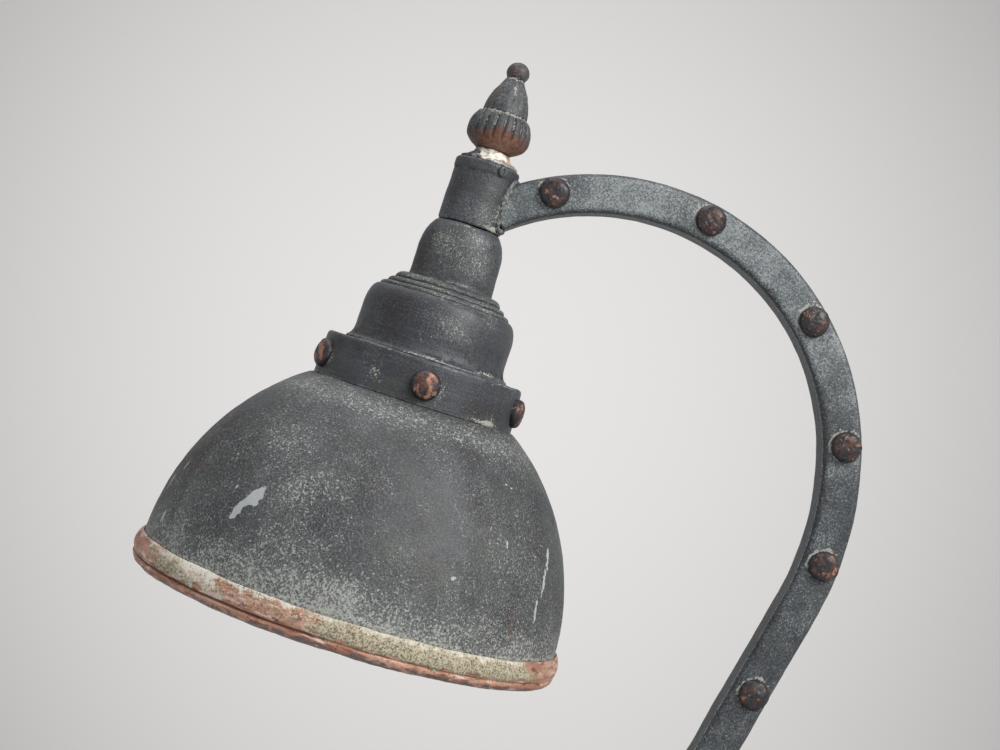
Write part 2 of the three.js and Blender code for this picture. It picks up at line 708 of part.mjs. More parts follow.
/** Wide cup: domed shoulder with three raised rings that step in to the neck. */
function steppedCup() {
  const outline = new THREE.Path();
  outline.moveTo(CUP_R - 1.9, H_CUP_BOTTOM);
  outline.lineTo(CUP_R + 3.4, H_CUP_BOTTOM);
  outline.lineTo(CUP_R + 3, H_CUP_BOTTOM + 1);
  outline.quadraticCurveTo(CUP_R + 0.2, H_CUP_BOTTOM + 2, CUP_R, 134);
  outline.lineTo(CUP_R, 146);
  outline.quadraticCurveTo(CUP_R - 0.4, 153.6, 34, 156);
  outline.lineTo(33, 156.2);
  outline.quadraticCurveTo(32.6, 158.2, 30.6, 158.2);
  outline.lineTo(30.2, 158.4);
  outline.quadraticCurveTo(30, 160.8, 27.6, 160.9);
  outline.lineTo(27, 161.1);
  outline.quadraticCurveTo(26.6, 164.2, 23, H_CUP_TOP);
  outline.lineTo(SWIVEL_BORE_R, H_CUP_TOP);
  outline.lineTo(SWIVEL_BORE_R, H_CUP_TOP - 3.4);
  outline.lineTo(22, H_CUP_TOP - 3.4);
  outline.quadraticCurveTo(CUP_R - 1.9, 155, CUP_R - 1.9, 146);
  outline.closePath();
  return turned(outline, MIDDLE, 2);
}

add(shade, 'stepped_cup', weatheredSteel, steppedCup());
add(shade, 'cup_nut', bareSteel, nut(NIPPLE_R + GAP, 17, 156.8, H_CUP_TOP - 3.4 - GAP));

const NECK_UPSTAND_R = COLLAR_R - COLLAR_WALL - GAP;
const collarRivetHoles = () =>
  around(COLLAR_RIVETS, COLLAR_RIVET_TURN).map((angle) =>
    radial(rod(RIVET_SHANK_R + 0.4, 30, 62, TINY), angle, H_COLLAR_RIVET));

/** Riveted band round the neck of the dome, with a lip that carries the cup. */
function shadeCollar() {
  const outline = new THREE.Path();
  const innerR = COLLAR_R - COLLAR_WALL;
  outline.moveTo(innerR, H_COLLAR_BOTTOM);
  outline.lineTo(COLLAR_R + 0.4, H_COLLAR_BOTTOM);
  outline.lineTo(COLLAR_R - 0.4, H_COLLAR_TOP - 1.6);
  outline.quadraticCurveTo(COLLAR_R - 0.5, H_COLLAR_TOP, COLLAR_R - 2.2, H_COLLAR_TOP);
  outline.lineTo(CUP_R - 4, H_COLLAR_TOP);
  outline.lineTo(CUP_R - 4, H_COLLAR_TOP - 2);
  outline.lineTo(innerR, H_COLLAR_TOP - 2);
  outline.closePath();
  return cut(turned(outline, LARGE, 2), ...collarRivetHoles());
}

add(shade, 'shade_collar', weatheredSteel, shadeCollar());

/** Spun dome: a short skirt inside the bead, one long curve, and an upstand inside the collar. */
function shadeDome() {
  const outline = new THREE.Path();
  const upstandTop = H_COLLAR_TOP - 3;
  outline.moveTo(DOME_R, H_SKIRT_BOTTOM);
  outline.lineTo(DOME_R, 6);
  outline.bezierCurveTo(DOME_R - 1.4, 46, 86, 80.7, DOME_TOP_R, H_DOME_TOP);
  outline.lineTo(NECK_UPSTAND_R, H_COLLAR_BOTTOM - GAP);
  outline.lineTo(NECK_UPSTAND_R, upstandTop);
  outline.lineTo(NECK_UPSTAND_R - WALL, upstandTop);
  outline.lineTo(NECK_UPSTAND_R - WALL, H_COLLAR_BOTTOM - 2);
  outline.lineTo(DOME_TOP_R - 1.2, H_DOME_TOP - 1.5);
  outline.bezierCurveTo(84.8, 79.4, DOME_R - 2.9, 45.4, DOME_R - WALL, 6);
  outline.lineTo(DOME_R - WALL, H_SKIRT_BOTTOM);
  outline.closePath();
  return cut(turned(outline, LARGE, 6), ...collarRivetHoles());
}

add(shade, 'shade_dome', weatheredSteel, shadeDome());
add(shade, 'shade_bead', wornCopper,
  bead({
    wallR: DOME_R,
    outerR: RIM_R,
    bottom: H_RIM_BOTTOM,
    top: H_RIM_TOP,
    tuck: 9.6,
    hookTop: H_SKIRT_BOTTOM - GAP,
  }));

around(COLLAR_RIVETS, COLLAR_RIVET_TURN).forEach((angle, i) => {
  const headBack = COLLAR_R + 0.4 + GAP;
  const grip = headBack - (NECK_UPSTAND_R - WALL) + RIVET_TAIL_GAP;
  const piece = tailedRivet(grip).translate(0, 0, headBack);
  add(shade, `collar_rivet_${i + 1}`, rivetIron, radial(piece, angle, H_COLLAR_RIVET));
});

// Lampholder for a 27 mm screw cap, hung on the nipple, and its lamp.
const HOLDER_R = 20;
const holderCap = new THREE.Path();
holderCap.moveTo(HOLDER_R - 2.4, 134);
holderCap.lineTo(HOLDER_R, 134);
holderCap.lineTo(HOLDER_R, 144);
holderCap.quadraticCurveTo(HOLDER_R - 0.6, 153, 10, 156.4);
holderCap.lineTo(NIPPLE_R + GAP, 156.4);
holderCap.lineTo(NIPPLE_R + GAP, 153.6);
holderCap.lineTo(9, 153.6);
holderCap.quadraticCurveTo(HOLDER_R - 2.6, 151, HOLDER_R - 2.4, 144);
holderCap.closePath();
add(shade, 'holder_cap', brass, turned(holderCap, SMALL, 2));
add(shade, 'holder_skirt', brass, ring(HOLDER_R - 2.2, HOLDER_R + 0.6, 103.5, 133.7, SMALL));
add(shade, 'holder_insert', porcelain, turned([
  [0, 131], [HOLDER_R - 2.8, 131], [HOLDER_R - 2.8, 137.4], [12, 137.4], [12, 141], [0, 141],
], SMALL));
add(shade, 'holder_sleeve', brass, ring(14, 15, 105, 130.6, SMALL));
add(shade, 'centre_contact', brass, rod(4, 129.4, 130.7, TINY));

/** Screw cap of the lamp, open below where the glass neck is cemented in. */
const bulbCap = [
  [0, 128.9], [4.5, 128.9], [6, 126.6], [12, 124.6], [13.5, 122.8], [13.5, 103], [12.7, 102.4],
  [12.7, 121], [5, 123], [0, 123.4],
];
add(shade, 'bulb_cap', nickel, turned(bulbCap, SMALL));

/** Pear-shaped glass, open at its neck inside the cap. */
function bulbGlassShell() {
  const outline = new THREE.Path();
  outline.moveTo(0, 24);
  outline.bezierCurveTo(17, 24, 30, 37, 30, 54);
  outline.bezierCurveTo(30, 74, 15, 78, 12.2, 101);
  outline.lineTo(12.2, 112);
  outline.lineTo(11.2, 112);
  outline.lineTo(11.2, 101);
  outline.bezierCurveTo(14, 77.6, 29, 73.4, 29, 54);
  outline.bezierCurveTo(29, 37.6, 16.6, 25, 0, 25);
  return turned(outline, SMALL, 4);
}

add(shade, 'bulb_glass', bulbGlass, bulbGlassShell());

/** Glass stem that carries the filament. */
const bulbStem = [
  [0, 58], [1.1, 58.6], [1.6, 62], [1.4, 74], [2.4, 78], [3, 92], [5.4, 104], [9.6, 111.4],
  [9.6, 112], [0, 112],
];
add(shade, 'bulb_stem', bulbGlass, turned(bulbStem, TINY));

const holderWirePoints = [
  headPoint(0, H_SEAM + 0.1 - GAP), headPoint(0, 180), headPoint(0, 160), headPoint(0, 141.4),
].map((p) => p.applyMatrix4(shade.matrixWorld.clone().invert()));
add(shade, 'holder_wire', wireCotton, wire(holderWirePoints, 3));

export default lamp;
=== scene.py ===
"""Looks of the riveted crook-arm desk lamp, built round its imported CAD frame.

The lamp is a weighted base, a bent square-tube arm that turns on it, and a dome shade that turns
below the arm's ferrule. Each visible piece is a surface worked out on a grid and dressed in an aged
metal. Sizes are millimetres in the classes below, and become metres when a mesh is made.
"""

import json
import logging
import math
from collections.abc import Callable, Sequence
from dataclasses import dataclass, field
from enum import Enum

import bpy
import numpy as np
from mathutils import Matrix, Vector


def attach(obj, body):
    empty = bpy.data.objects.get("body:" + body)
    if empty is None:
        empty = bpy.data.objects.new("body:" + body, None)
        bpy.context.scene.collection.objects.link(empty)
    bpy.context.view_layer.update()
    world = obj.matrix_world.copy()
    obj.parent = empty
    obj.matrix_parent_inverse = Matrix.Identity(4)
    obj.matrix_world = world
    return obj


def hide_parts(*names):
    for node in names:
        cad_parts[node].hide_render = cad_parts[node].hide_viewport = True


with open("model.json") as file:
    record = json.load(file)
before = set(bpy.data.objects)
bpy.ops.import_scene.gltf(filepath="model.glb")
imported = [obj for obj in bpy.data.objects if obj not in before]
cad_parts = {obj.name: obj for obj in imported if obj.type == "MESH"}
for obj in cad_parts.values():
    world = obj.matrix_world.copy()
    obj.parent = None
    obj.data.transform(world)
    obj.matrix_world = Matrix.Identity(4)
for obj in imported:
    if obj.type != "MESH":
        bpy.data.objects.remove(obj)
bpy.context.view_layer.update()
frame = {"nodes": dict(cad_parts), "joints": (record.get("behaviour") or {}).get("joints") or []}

log = logging.getLogger("lamp")
Array = np.ndarray
Point = tuple[float, float]
Shaping = Callable[[Array, Array, Array], tuple[Array, Array]]

MM = 0.001
SHARP_TURN = math.radians(14)
WAVES = 28

# Heights up the leaning head run from the middle of the rim; the shade swivels at this one.
SEAM_HEIGHT = 195.0
RIVET_COUNT = 5
FIRST_RIVET_TURN = -86.0


# ---- Outlines and surfaces -----------------------------------------------------------------------


class Outline:
    """A half-section of a turned piece, in (radius, height)."""

    def __init__(self, radius: float, height: float) -> None:
        self.runs: list[Array] = [np.array([(radius, height)], float)]

    def to(self, *points: Point) -> "Outline":
        """Runs straight to each point in turn."""
        self.runs.append(np.array(points, float))
        return self

    def bend(self, *controls: Point, steps: int = 24) -> "Outline":
        """Runs along a Bezier curve: the controls weighted by Bernstein's polynomials."""
        hull = np.vstack([self.runs[-1][-1:], controls])
        degree = len(hull) - 1
        t = np.linspace(0, 1, steps + 1)[1:, None]
        weights = [math.comb(degree, k) * t**k * (1 - t) ** (degree - k) for k in range(degree + 1)]
        self.runs.append(sum(weight * point for weight, point in zip(weights, hull)))
        return self

    def drawn(self, step: float, fillet: float) -> "Section":
        """The finished outline.

        Args:
            step: Longest distance between neighbouring points.
            fillet: How far from a sharp corner its rounding starts.

        Returns:
            The outline's points with their normals, run and corner sense.
        """
        points = np.vstack(self.runs)
        closed = bool(points[0, 0] > 1e-9 or points[-1, 0] > 1e-9)
        return Section(spaced(softened(points, fillet, closed), step, closed), closed)


def softened(points: Array, fillet: float, closed: bool) -> Array:
    """Rounds sharp corners.

    Each gives way to the parabola from `fillet` before it to `fillet` after it, or from less than
    half of the shorter run beside it.

    Args:
        points: The polyline.
        fillet: The distance cut back from a corner.
        closed: Whether the last point joins the first.

    Returns:
        The rounded polyline.
    """
    runs = [np.roll(points, way, 0) - points for way in (1, -1)]
    lengths = [np.maximum(np.linalg.norm(run, axis=1), 1e-9) for run in runs]
    before, after = (run / length[:, None] for run, length in zip(runs, lengths))
    turn = math.pi - np.arccos(np.clip((before * after).sum(1), -1, 1))
    cut = np.minimum(fillet, 0.45 * np.minimum(*lengths)) * (turn > SHARP_TURN)
    if not closed:
        cut[[0, -1]] = 0
    t = np.linspace(0, 1, 5)[None, :, None]
    start, end = (points + way * cut[:, None] for way in (before, after))
    bow = (1 - t) ** 2 * start[:, None] + 2 * t * (1 - t) * points[:, None] + t**2 * end[:, None]
    loop = bow.reshape(-1, 2)
    apart = np.linalg.norm(loop - np.roll(loop, 1, 0), axis=1) > 1e-5
    apart[0] |= not closed
    return loop[apart]


def spaced(points: Array, step: float, closed: bool) -> Array:
    """Splits each run of a polyline into equal parts no longer than a step."""
    starts = points if closed else points[:-1]
    ways = (np.roll(points, -1, 0) if closed else points[1:]) - starts
    count = np.maximum(1, np.ceil(np.linalg.norm(ways, axis=1) / step)).astype(int)
    which = np.repeat(np.arange(len(starts)), count)
    share = (np.arange(len(which)) - np.repeat(np.cumsum(count) - count, count)) / count[which]
    inside = starts[which] + share[:, None] * ways[which]
    return inside if closed else np.vstack([inside, points[-1:]])


@dataclass
class Section:
    """A finished outline: its points, and what is known along it."""

    points: Array
    closed: bool
    run: Array = field(init=False)
    normals: Array = field(init=False)
    sense: Array = field(init=False)

    def __post_init__(self) -> None:
        """Works out lengths, outward normals, and how sharply the outline turns near each point.

        The sense is the sum of the turning angles nearby, each weighted by a bell curve of its
        distance: above 0 on an outside corner and below 0 in a hollow.
        """
        loop = self.points
        ahead, behind = np.roll(loop, -1, 0) - loop, loop - np.roll(loop, 1, 0)
        if not self.closed:
            ahead[-1], behind[0] = behind[-1], ahead[0]
        steps = np.linalg.norm(behind, axis=1) * np.r_[0, np.ones(len(loop) - 1)]
        self.run = np.cumsum(steps)
        area = np.cross(loop, np.roll(loop, -1, 0)).sum()
        side = 1.0 if area > 0 else -1.0
        unit = [way / np.linalg.norm(way, axis=1, keepdims=True) for way in (ahead, behind)]
        along = unit[0] + unit[1]
        along /= np.maximum(np.linalg.norm(along, axis=1, keepdims=True), 1e-9)
        self.normals = side * np.stack([along[:, 1], -along[:, 0]], 1)
        turn = side * np.arcsin(np.clip(np.cross(unit[1], unit[0]), -1, 1))
        gap = np.abs(self.run[:, None] - self.run)
        if self.closed:
            gap = np.minimum(gap, self.run[-1] + np.linalg.norm(ahead[-1]) - gap)
        self.sense = (np.exp(-((gap / 1.1) ** 2)) * turn).sum(1)


def ripple(points: Array, size: float, seed: int) -> Array:
    """Smooth unevenness.

    It is the sum of plane waves of nearly one length in random directions, with unit variance.

    Args:
        points: Places, in millimetres, along the last axis.
        size: The waves' length.
        seed: Picks the waves.

    Returns:
        One number for each place.
    """
    rng = np.random.default_rng(seed)
    ways = rng.normal(size=(3, WAVES))
    ways *= 2 * math.pi / (size * rng.uniform(0.7, 1.6, WAVES) * np.linalg.norm(ways, axis=0))
    return np.sin(points @ ways + rng.uniform(0, 2 * math.pi, WAVES)).sum(-1) * math.sqrt(2 / WAVES)


def bell(distance: Array, width: float) -> Array:
    """A bell curve: 1 at no distance, and about a third at one width."""
    return np.exp(-((distance / width) ** 2))


def ease(value: Array, low: float, high: float) -> Array:
    """0 below low, 1 above high, and a smooth cubic step between them."""
    t = np.clip((value - low) / (high - low), 0, 1)
    return t * t * (3 - 2 * t)


@dataclass(frozen=True)
class Place:
    """Where a piece is drawn: an origin in millimetres and its X, Y and Z axes as rows."""

    origin: Array
    axes: Array

    def carry(self, points: Array) -> Array:
        """Points of the piece, in the lamp's frame."""
        return self.origin + points @ self.axes

    def outward(self, turn: float, height: float, radius: float = 0.0) -> "Place":
        """A place on this one's axis at a height, with its Z pointing outwards at a turn."""
        a = math.radians(turn)
        out = np.array([math.cos(a), math.sin(a), 0.0])
        frame_axes = np.stack([[0.0, 0.0, 1.0], np.cross(out, [0.0, 0.0, 1.0]), out])
        return Place(self.carry(out * radius + [0, 0, height]), frame_axes @ self.axes)


def upright(x: float = 0.0, y: float = 0.0, z: float = 0.0) -> Place:
    """A place with the lamp's own axes."""
    return Place(np.array([x, y, z]), np.eye(3))


def leaning_head() -> Place:
    """The head's frame: its Z is the shade's swivel axis, from the middle of the rim."""
    joint = next(j for j in frame["joints"] if j["name"] == "shade_swivel")
    z = np.array(joint["axis"], float)
    z /= np.linalg.norm(z)
    y = np.array([0.0, 1.0, 0.0])
    seam = np.array(joint["pos_m"], float) / MM
    return Place(seam - SEAM_HEIGHT * z, np.stack([np.cross(y, z), y, z]))


@dataclass(frozen=True)
class Mark:
    """A spot, streak or chip on a turned piece.

    It lies at a turn in degrees and a height, this far each way up the slope and round the piece,
    leaning over by a slant in degrees.
    """

    turn: float
    height: float
    up: float
    across: float
    slant: float = 0.0
    strength: float = 1.0


@dataclass
class Surface:
    """A piece before it is a mesh, in millimetres.

    Its points are a grid of rows along the section and columns round the axis or along the path.
    `lay` is where each point lies when the piece is unrolled, and `traits` are the numbers that the
    finishes read.
    """

    grid: Array
    lay: Array
    quads: Array
    triangles: Array
    traits: dict[str, Array]
    inner: Array

    def mark(self, trait: str, *rows: Sequence[float]) -> None:
        """Adds marks, each given as the numbers of a Mark, to a trait."""
        self.traits[trait] = self.traits.get(trait, 0) + self.skin([Mark(*row) for row in rows])

    def skin(self, marks: Sequence[Mark]) -> Array:
        """How strongly marks show at each point.

        Each mark is a bell of the distances up the slope and round the piece, measured straight
        across from the mark's own point.
        """
        total = np.zeros(self.grid.shape[:2])
        columns = self.grid.shape[1]
        heights, outer = self.grid[:, 0, 2], ~self.inner[:, 0]
        for mark in marks:
            row = int(np.argmin(np.abs(heights - mark.height) + 1e3 * ~outer))
            column = round(mark.turn / 360 * columns) % columns
            centre = self.grid[row, column]
            slope = self.grid[min(row + 1, len(heights) - 1), column] - centre
            up = slope / max(np.linalg.norm(slope), 1e-9)
            a = math.radians(mark.turn)
            round_way = np.array([-math.sin(a), math.cos(a), 0.0])
            c, s = math.cos(math.radians(mark.slant)), math.sin(math.radians(mark.slant))
            away = self.grid - centre
            along, beside = away @ (c * up + s * round_way), away @ (c * round_way - s * up)
            total += mark.strength * bell(along, mark.up) * bell(beside, mark.across)
        return total * ~self.inner


def lattice(rows: int, columns: int, wrap_rows: bool) -> Array:
    """The quads of a grid whose columns close on themselves, and its rows too when asked."""
    i = np.arange(rows if wrap_rows else rows - 1)[:, None]
    j = np.arange(columns)[None, :]
    low, high, beside = i * columns, (i + 1) % rows * columns, (j + 1) % columns
    return np.stack([low + j, low + beside, high + beside, high + j], -1).reshape(-1, 4)


def turned(
    outline: Outline,
    segments: int,
    step: float = 1.5,
    fillet: float = 0.5,
    waver: Sequence[tuple[float, float]] = (),
    shaping: Shaping | None = None,
    seed: int = 1,
) -> Surface:
    """A solid of revolution about +Z.

    Point (i, j) is the section's point i turned through j parts of a circle. A shaping first gives
    each point its own radius and height, and wavers then push it along its normal.

    Args:
        outline: Half-section, closed, or open with both ends on the axis.
        segments: Points round the circle.
        step: Longest distance along the section between points.
        fillet: Rounding of sharp corners.
        waver: Pairs of (height, length) of unevenness.
        shaping: Turns (turn, radius, height) into a new (radius, height).
        seed: Picks the unevenness.

    Returns:
        The surface, with traits `edge` and `hollow` from the section's corners.
    """
    section = outline.drawn(step, fillet)
    turn = 2 * math.pi * np.arange(segments)[None, :] / segments
    radius, height = (np.repeat(section.points[:, k : k + 1], segments, 1) for k in (0, 1))
    if shaping is not None:
        radius, height = shaping(turn, radius, height)
    ring = np.stack([np.cos(turn), np.sin(turn)], -1)
    out, rise = section.normals[:, 0, None, None], section.normals[:, 1, None, None]
    normal = np.concatenate([out * ring, np.broadcast_to(rise, (len(out), segments, 1))], -1)
    grid = np.concatenate([radius[..., None] * ring, height[..., None]], -1)
    flat = grid
    for k, (amount, size) in enumerate(waver):
        grid = grid + normal * (amount * ripple(flat, size, seed + 10 * k))[..., None]
    mean = float(section.points[:, 0].mean())
    run = np.broadcast_to(section.run[:, None, None], (len(out), segments, 1))
    lay = np.concatenate([np.broadcast_to(mean * ring, (len(out), segments, 2)), run], -1)
    faces = lattice(len(out), segments, section.closed)
    triangles = np.zeros((0, 3), int)
    if not section.closed:
        grid[[0, -1]] = grid[[0, -1]].mean(1, keepdims=True)
        first, last = faces[:segments], faces[-segments:]
        top = (len(out) - 1) * segments
        fans = (first[:, [0, 2, 3]], last[:, [0, 1, 3]])
        fans[0][:, 0], fans[1][:, 2] = 0, top
        triangles, faces = np.vstack(fans), faces[segments:-segments]
    sense = np.repeat(section.sense[:, None], segments, 1)
    traits = {"edge": np.clip(sense / 1.3, 0, 1), "hollow": np.clip(-sense / 0.9, 0, 1)}
    inner = np.repeat(section.normals[:, :1] < -0.15, segments, 1)
    return Surface(grid, lay, faces, triangles, traits, inner)


def tube(path: Array, across: Array, radius: Array, sides: int) -> Surface:
    """A round rod along a path that closes on itself.

    Point (i, j) is path point i plus its radius turned through j parts of a circle in the plane of
    `across` and the path's other normal.

    Args:
        path: Points of the middle line.
        across: A direction square to the path at each point.
        radius: The rod's radius at each point.
        sides: Points round the rod.

    Returns:
        The surface.
    """
    other = np.cross(np.roll(path, -1, 0) - np.roll(path, 1, 0), across)
    other /= np.linalg.norm(other, axis=1, keepdims=True)
    a = 2 * math.pi * np.arange(sides)[None, :, None] / sides
    spoke = np.cos(a) * across[:, None] + np.sin(a) * other[:, None]
    grid = path[:, None] + radius[:, None, None] * spoke
    empty = np.zeros(grid.shape[:2])
    traits = {"edge": empty, "hollow": empty}
    return Surface(grid, grid, lattice(len(path), sides, True), np.zeros((0, 3), int), traits, empty > 1)


def hand_over(
    name: str,
    surface: Surface,
    place: Place,
    body: str,
    finishes: Sequence[bpy.types.Material],
    replaces: Sequence[str] = (),
    regions: Array | None = None,
) -> bpy.types.Object:
    """Makes a surface a mesh and gives it to the frame.

    Args:
        name: The piece's name.
        surface: Its surface.
        place: Where it is drawn.
        body: The CAD body that it rides on.
        finishes: Its materials.
        replaces: CAD nodes that it stands for.
        regions: For each grid point, which finish it takes, where there is more than one.

    Returns:
        The piece, at the origin, with its place in its mesh.
    """
    used, index = np.unique(
        np.concatenate([surface.quads.ravel(), surface.triangles.ravel()]), return_inverse=True
    )
    points = place.carry(surface.grid).reshape(-1, 3)[used] * MM
    split = surface.quads.size
    quads, triangles = index[:split].reshape(-1, 4), index[split:].reshape(-1, 3)
    corners = points[np.vstack([triangles, quads[:, :3], quads[:, [0, 2, 3]]])] - points.mean(0)
    if np.einsum("ij,ij->", corners[:, 0], np.cross(corners[:, 1], corners[:, 2])) < 0:
        quads, triangles = quads[:, ::-1], triangles[:, ::-1]
    mesh = bpy.data.meshes.new(name)
    mesh.from_pydata(points.tolist(), [], quads.tolist() + triangles.tolist())
    for trait, values in surface.traits.items():
        numbers = np.ascontiguousarray(values.reshape(-1)[used], np.float32)
        mesh.attributes.new(trait, "FLOAT", "POINT").data.foreach_set("value", numbers)
    lay = np.ascontiguousarray(surface.lay.reshape(-1, 3)[used] * MM, np.float32)
    mesh.attributes.new("lay", "FLOAT_VECTOR", "POINT").data.foreach_set("vector", lay.ravel())
    for finish in finishes:
        mesh.materials.append(finish)
    if regions is not None:
        chosen = regions.reshape(-1)[used]
        firsts = np.concatenate([quads[:, 0], triangles[:, 0]])
        mesh.polygons.foreach_set("material_index", chosen[firsts].astype(np.int32))
    mesh.shade_smooth()
    piece = bpy.data.objects.new(name, mesh)
    bpy.context.scene.collection.objects.link(piece)
    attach(piece, body)
    if replaces:
        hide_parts(*replaces)
    log.info("%s: %d faces on %s", name, len(mesh.polygons), body)
    return piece


# ---- Finishes ------------------------------------------------------------------------------------


def linear(code: str) -> tuple[float, float, float, float]:
    """An sRGB hex colour, such as #45484c, as linear red, green, blue and alpha."""
    parts = (int(code[k : k + 2], 16) / 255 for k in (1, 3, 5))
    return (*(p / 12.92 if p <= 0.04045 else ((p + 0.055) / 1.055) ** 2.4 for p in parts), 1.0)


class Lie(Enum):
    """What a pattern follows: the lamp's own X, Y and Z, or the piece unrolled."""

    SPACE = "Object"
    SKIN = "lay"


Value = float | bpy.types.NodeSocket


class Skin:
    """A finish while it is laid on, coat by coat, in a material's nodes."""

    def __init__(self, name: str, ground: str, rough: float, metal: float) -> None:
        self.material = bpy.data.materials.new(name)
        self.material.use_nodes = True
        self.tree = self.material.node_tree
        self.tree.nodes.clear()
        self.colour = linear(ground)
        self.rough: Value = rough
        self.metal: Value = metal
        self.height: Value = 0.0
        self.lies = {
            Lie.SPACE: self.add("ShaderNodeTexCoord").outputs["Object"],
            Lie.SKIN: self.add("ShaderNodeAttribute", attribute_name="lay").outputs["Vector"],
        }

    def add(self, kind: str, feeds: dict | None = None, **settings: object) -> bpy.types.Node:
        """Adds a node.

        Args:
            kind: The node's type.
            feeds: What goes into its inputs, by name or number: a value, or another node's output.
            settings: Its own properties.

        Returns:
            The node.
        """
        node = self.tree.nodes.new(kind)
        for key, value in settings.items():
            setattr(node, key, value)
        for key, value in (feeds or {}).items():
            if isinstance(value, bpy.types.NodeSocket):
                self.tree.links.new(value, node.inputs[key])
            else:
                node.inputs[key].default_value = value
        return node

    def trait(self, name: str) -> bpy.types.NodeSocket:
        """A number that the piece's points carry."""
        return self.add("ShaderNodeAttribute", attribute_name=name).outputs["Fac"]

    def spots(
        self,
        size: float,
        above: float,
        edge: float = 0.05,
        full: float = 1.0,
        detail: float = 2.0,
        grain: float = 0.5,
        stretch: tuple[float, float, float] = (1.0, 1.0, 1.0),
        lie: Lie = Lie.SPACE,
        seed: float = 0.0,
        pushed: Sequence[tuple[bpy.types.NodeSocket, float]] = (),
    ) -> bpy.types.NodeSocket:
        """Irregular patches: fractal noise, pushed by other patterns, shown above a level.

        Args:
            size: Size of the patches in millimetres.
            above: The level; noise lies mostly between 0.3 and 0.7.
            edge: Softness of the patches' edge, in levels.
            full: Strength inside a patch.
            detail: How many finer octaves break the edge up.
            grain: Strength of each finer octave.
            stretch: Scale along each axis; under 1 draws the patches out along it.
            lie: What the pattern follows.
            seed: Picks the pattern.
            pushed: Other patterns, each with the amount by which it raises the noise.

        Returns:
            The mask, 0 to full.
        """
        where = self.lies[lie]
        if stretch != (1.0, 1.0, 1.0):
            where = self.add("ShaderNodeMapping", {"Vector": where, "Scale": stretch}).outputs[0]
        noise = self.add(
            "ShaderNodeTexNoise",
            {"Vector": where, "W": seed, "Scale": 1 / (size * MM), "Detail": detail, "Roughness": grain},
            noise_dimensions="4D",
        )
        level = noise.outputs["Fac"]
        for pattern, amount in pushed:
            level = self.add(
                "ShaderNodeMath", {0: pattern, 1: amount, 2: level}, operation="MULTIPLY_ADD"
            ).outputs[0]
        return self.add(
            "ShaderNodeMapRange",
            {"Value": level, "From Min": above - edge, "From Max": above + edge, "To Max": full},
            interpolation_type="SMOOTHSTEP",
        ).outputs["Result"]

    def coat(
        self,
        mask: bpy.types.NodeSocket,
        colour: str | None = None,
        rough: float | None = None,
        metal: float | None = None,
        height: float = 0.0,
    ) -> None:
        """Lays a coat over what is there.

        Args:
            mask: Where it shows.
            colour: Its colour.
            rough: Its roughness.
            metal: How metallic it is.
            height: How far it stands up, in millimetres.
        """
        if colour is not None:
            self.colour = self.add(
                "ShaderNodeMix", {0: mask, 6: self.colour, 7: linear(colour)}, data_type="RGBA"
            ).outputs[2]
        if rough is not None:
            self.rough = self.add("ShaderNodeMix", {0: mask, 2: self.rough, 3: rough}).outputs[0]
        if metal is not None:
            self.metal = self.add("ShaderNodeMix", {0: mask, 2: self.metal, 3: metal}).outputs[0]
        if height:
            self.height = self.add(
                "ShaderNodeMath", {0: mask, 1: height, 2: self.height}, operation="MULTIPLY_ADD"
            ).outputs[0]

    def dressed(self, **shader: object) -> bpy.types.Material:
        """Joins the coats to the shader.

        Args:
            shader: Constant inputs of the shader, with underscores for spaces.

        Returns:
            The material.
        """
        feeds = {"Base Color": self.colour, "Roughness": self.rough, "Metallic": self.metal}
        feeds |= {name.replace("_", " "): value for name, value in shader.items()}
        if isinstance(self.height, bpy.types.NodeSocket):
            bump = self.add("ShaderNodeBump", {"Height": self.height, "Distance": MM})
            feeds["Normal"] = bump.outputs["Normal"]
        principled = self.add("ShaderNodeBsdfPrincipled", feeds)
        self.add("ShaderNodeOutputMaterial", {"Surface": principled.outputs["BSDF"]})
        return self.material


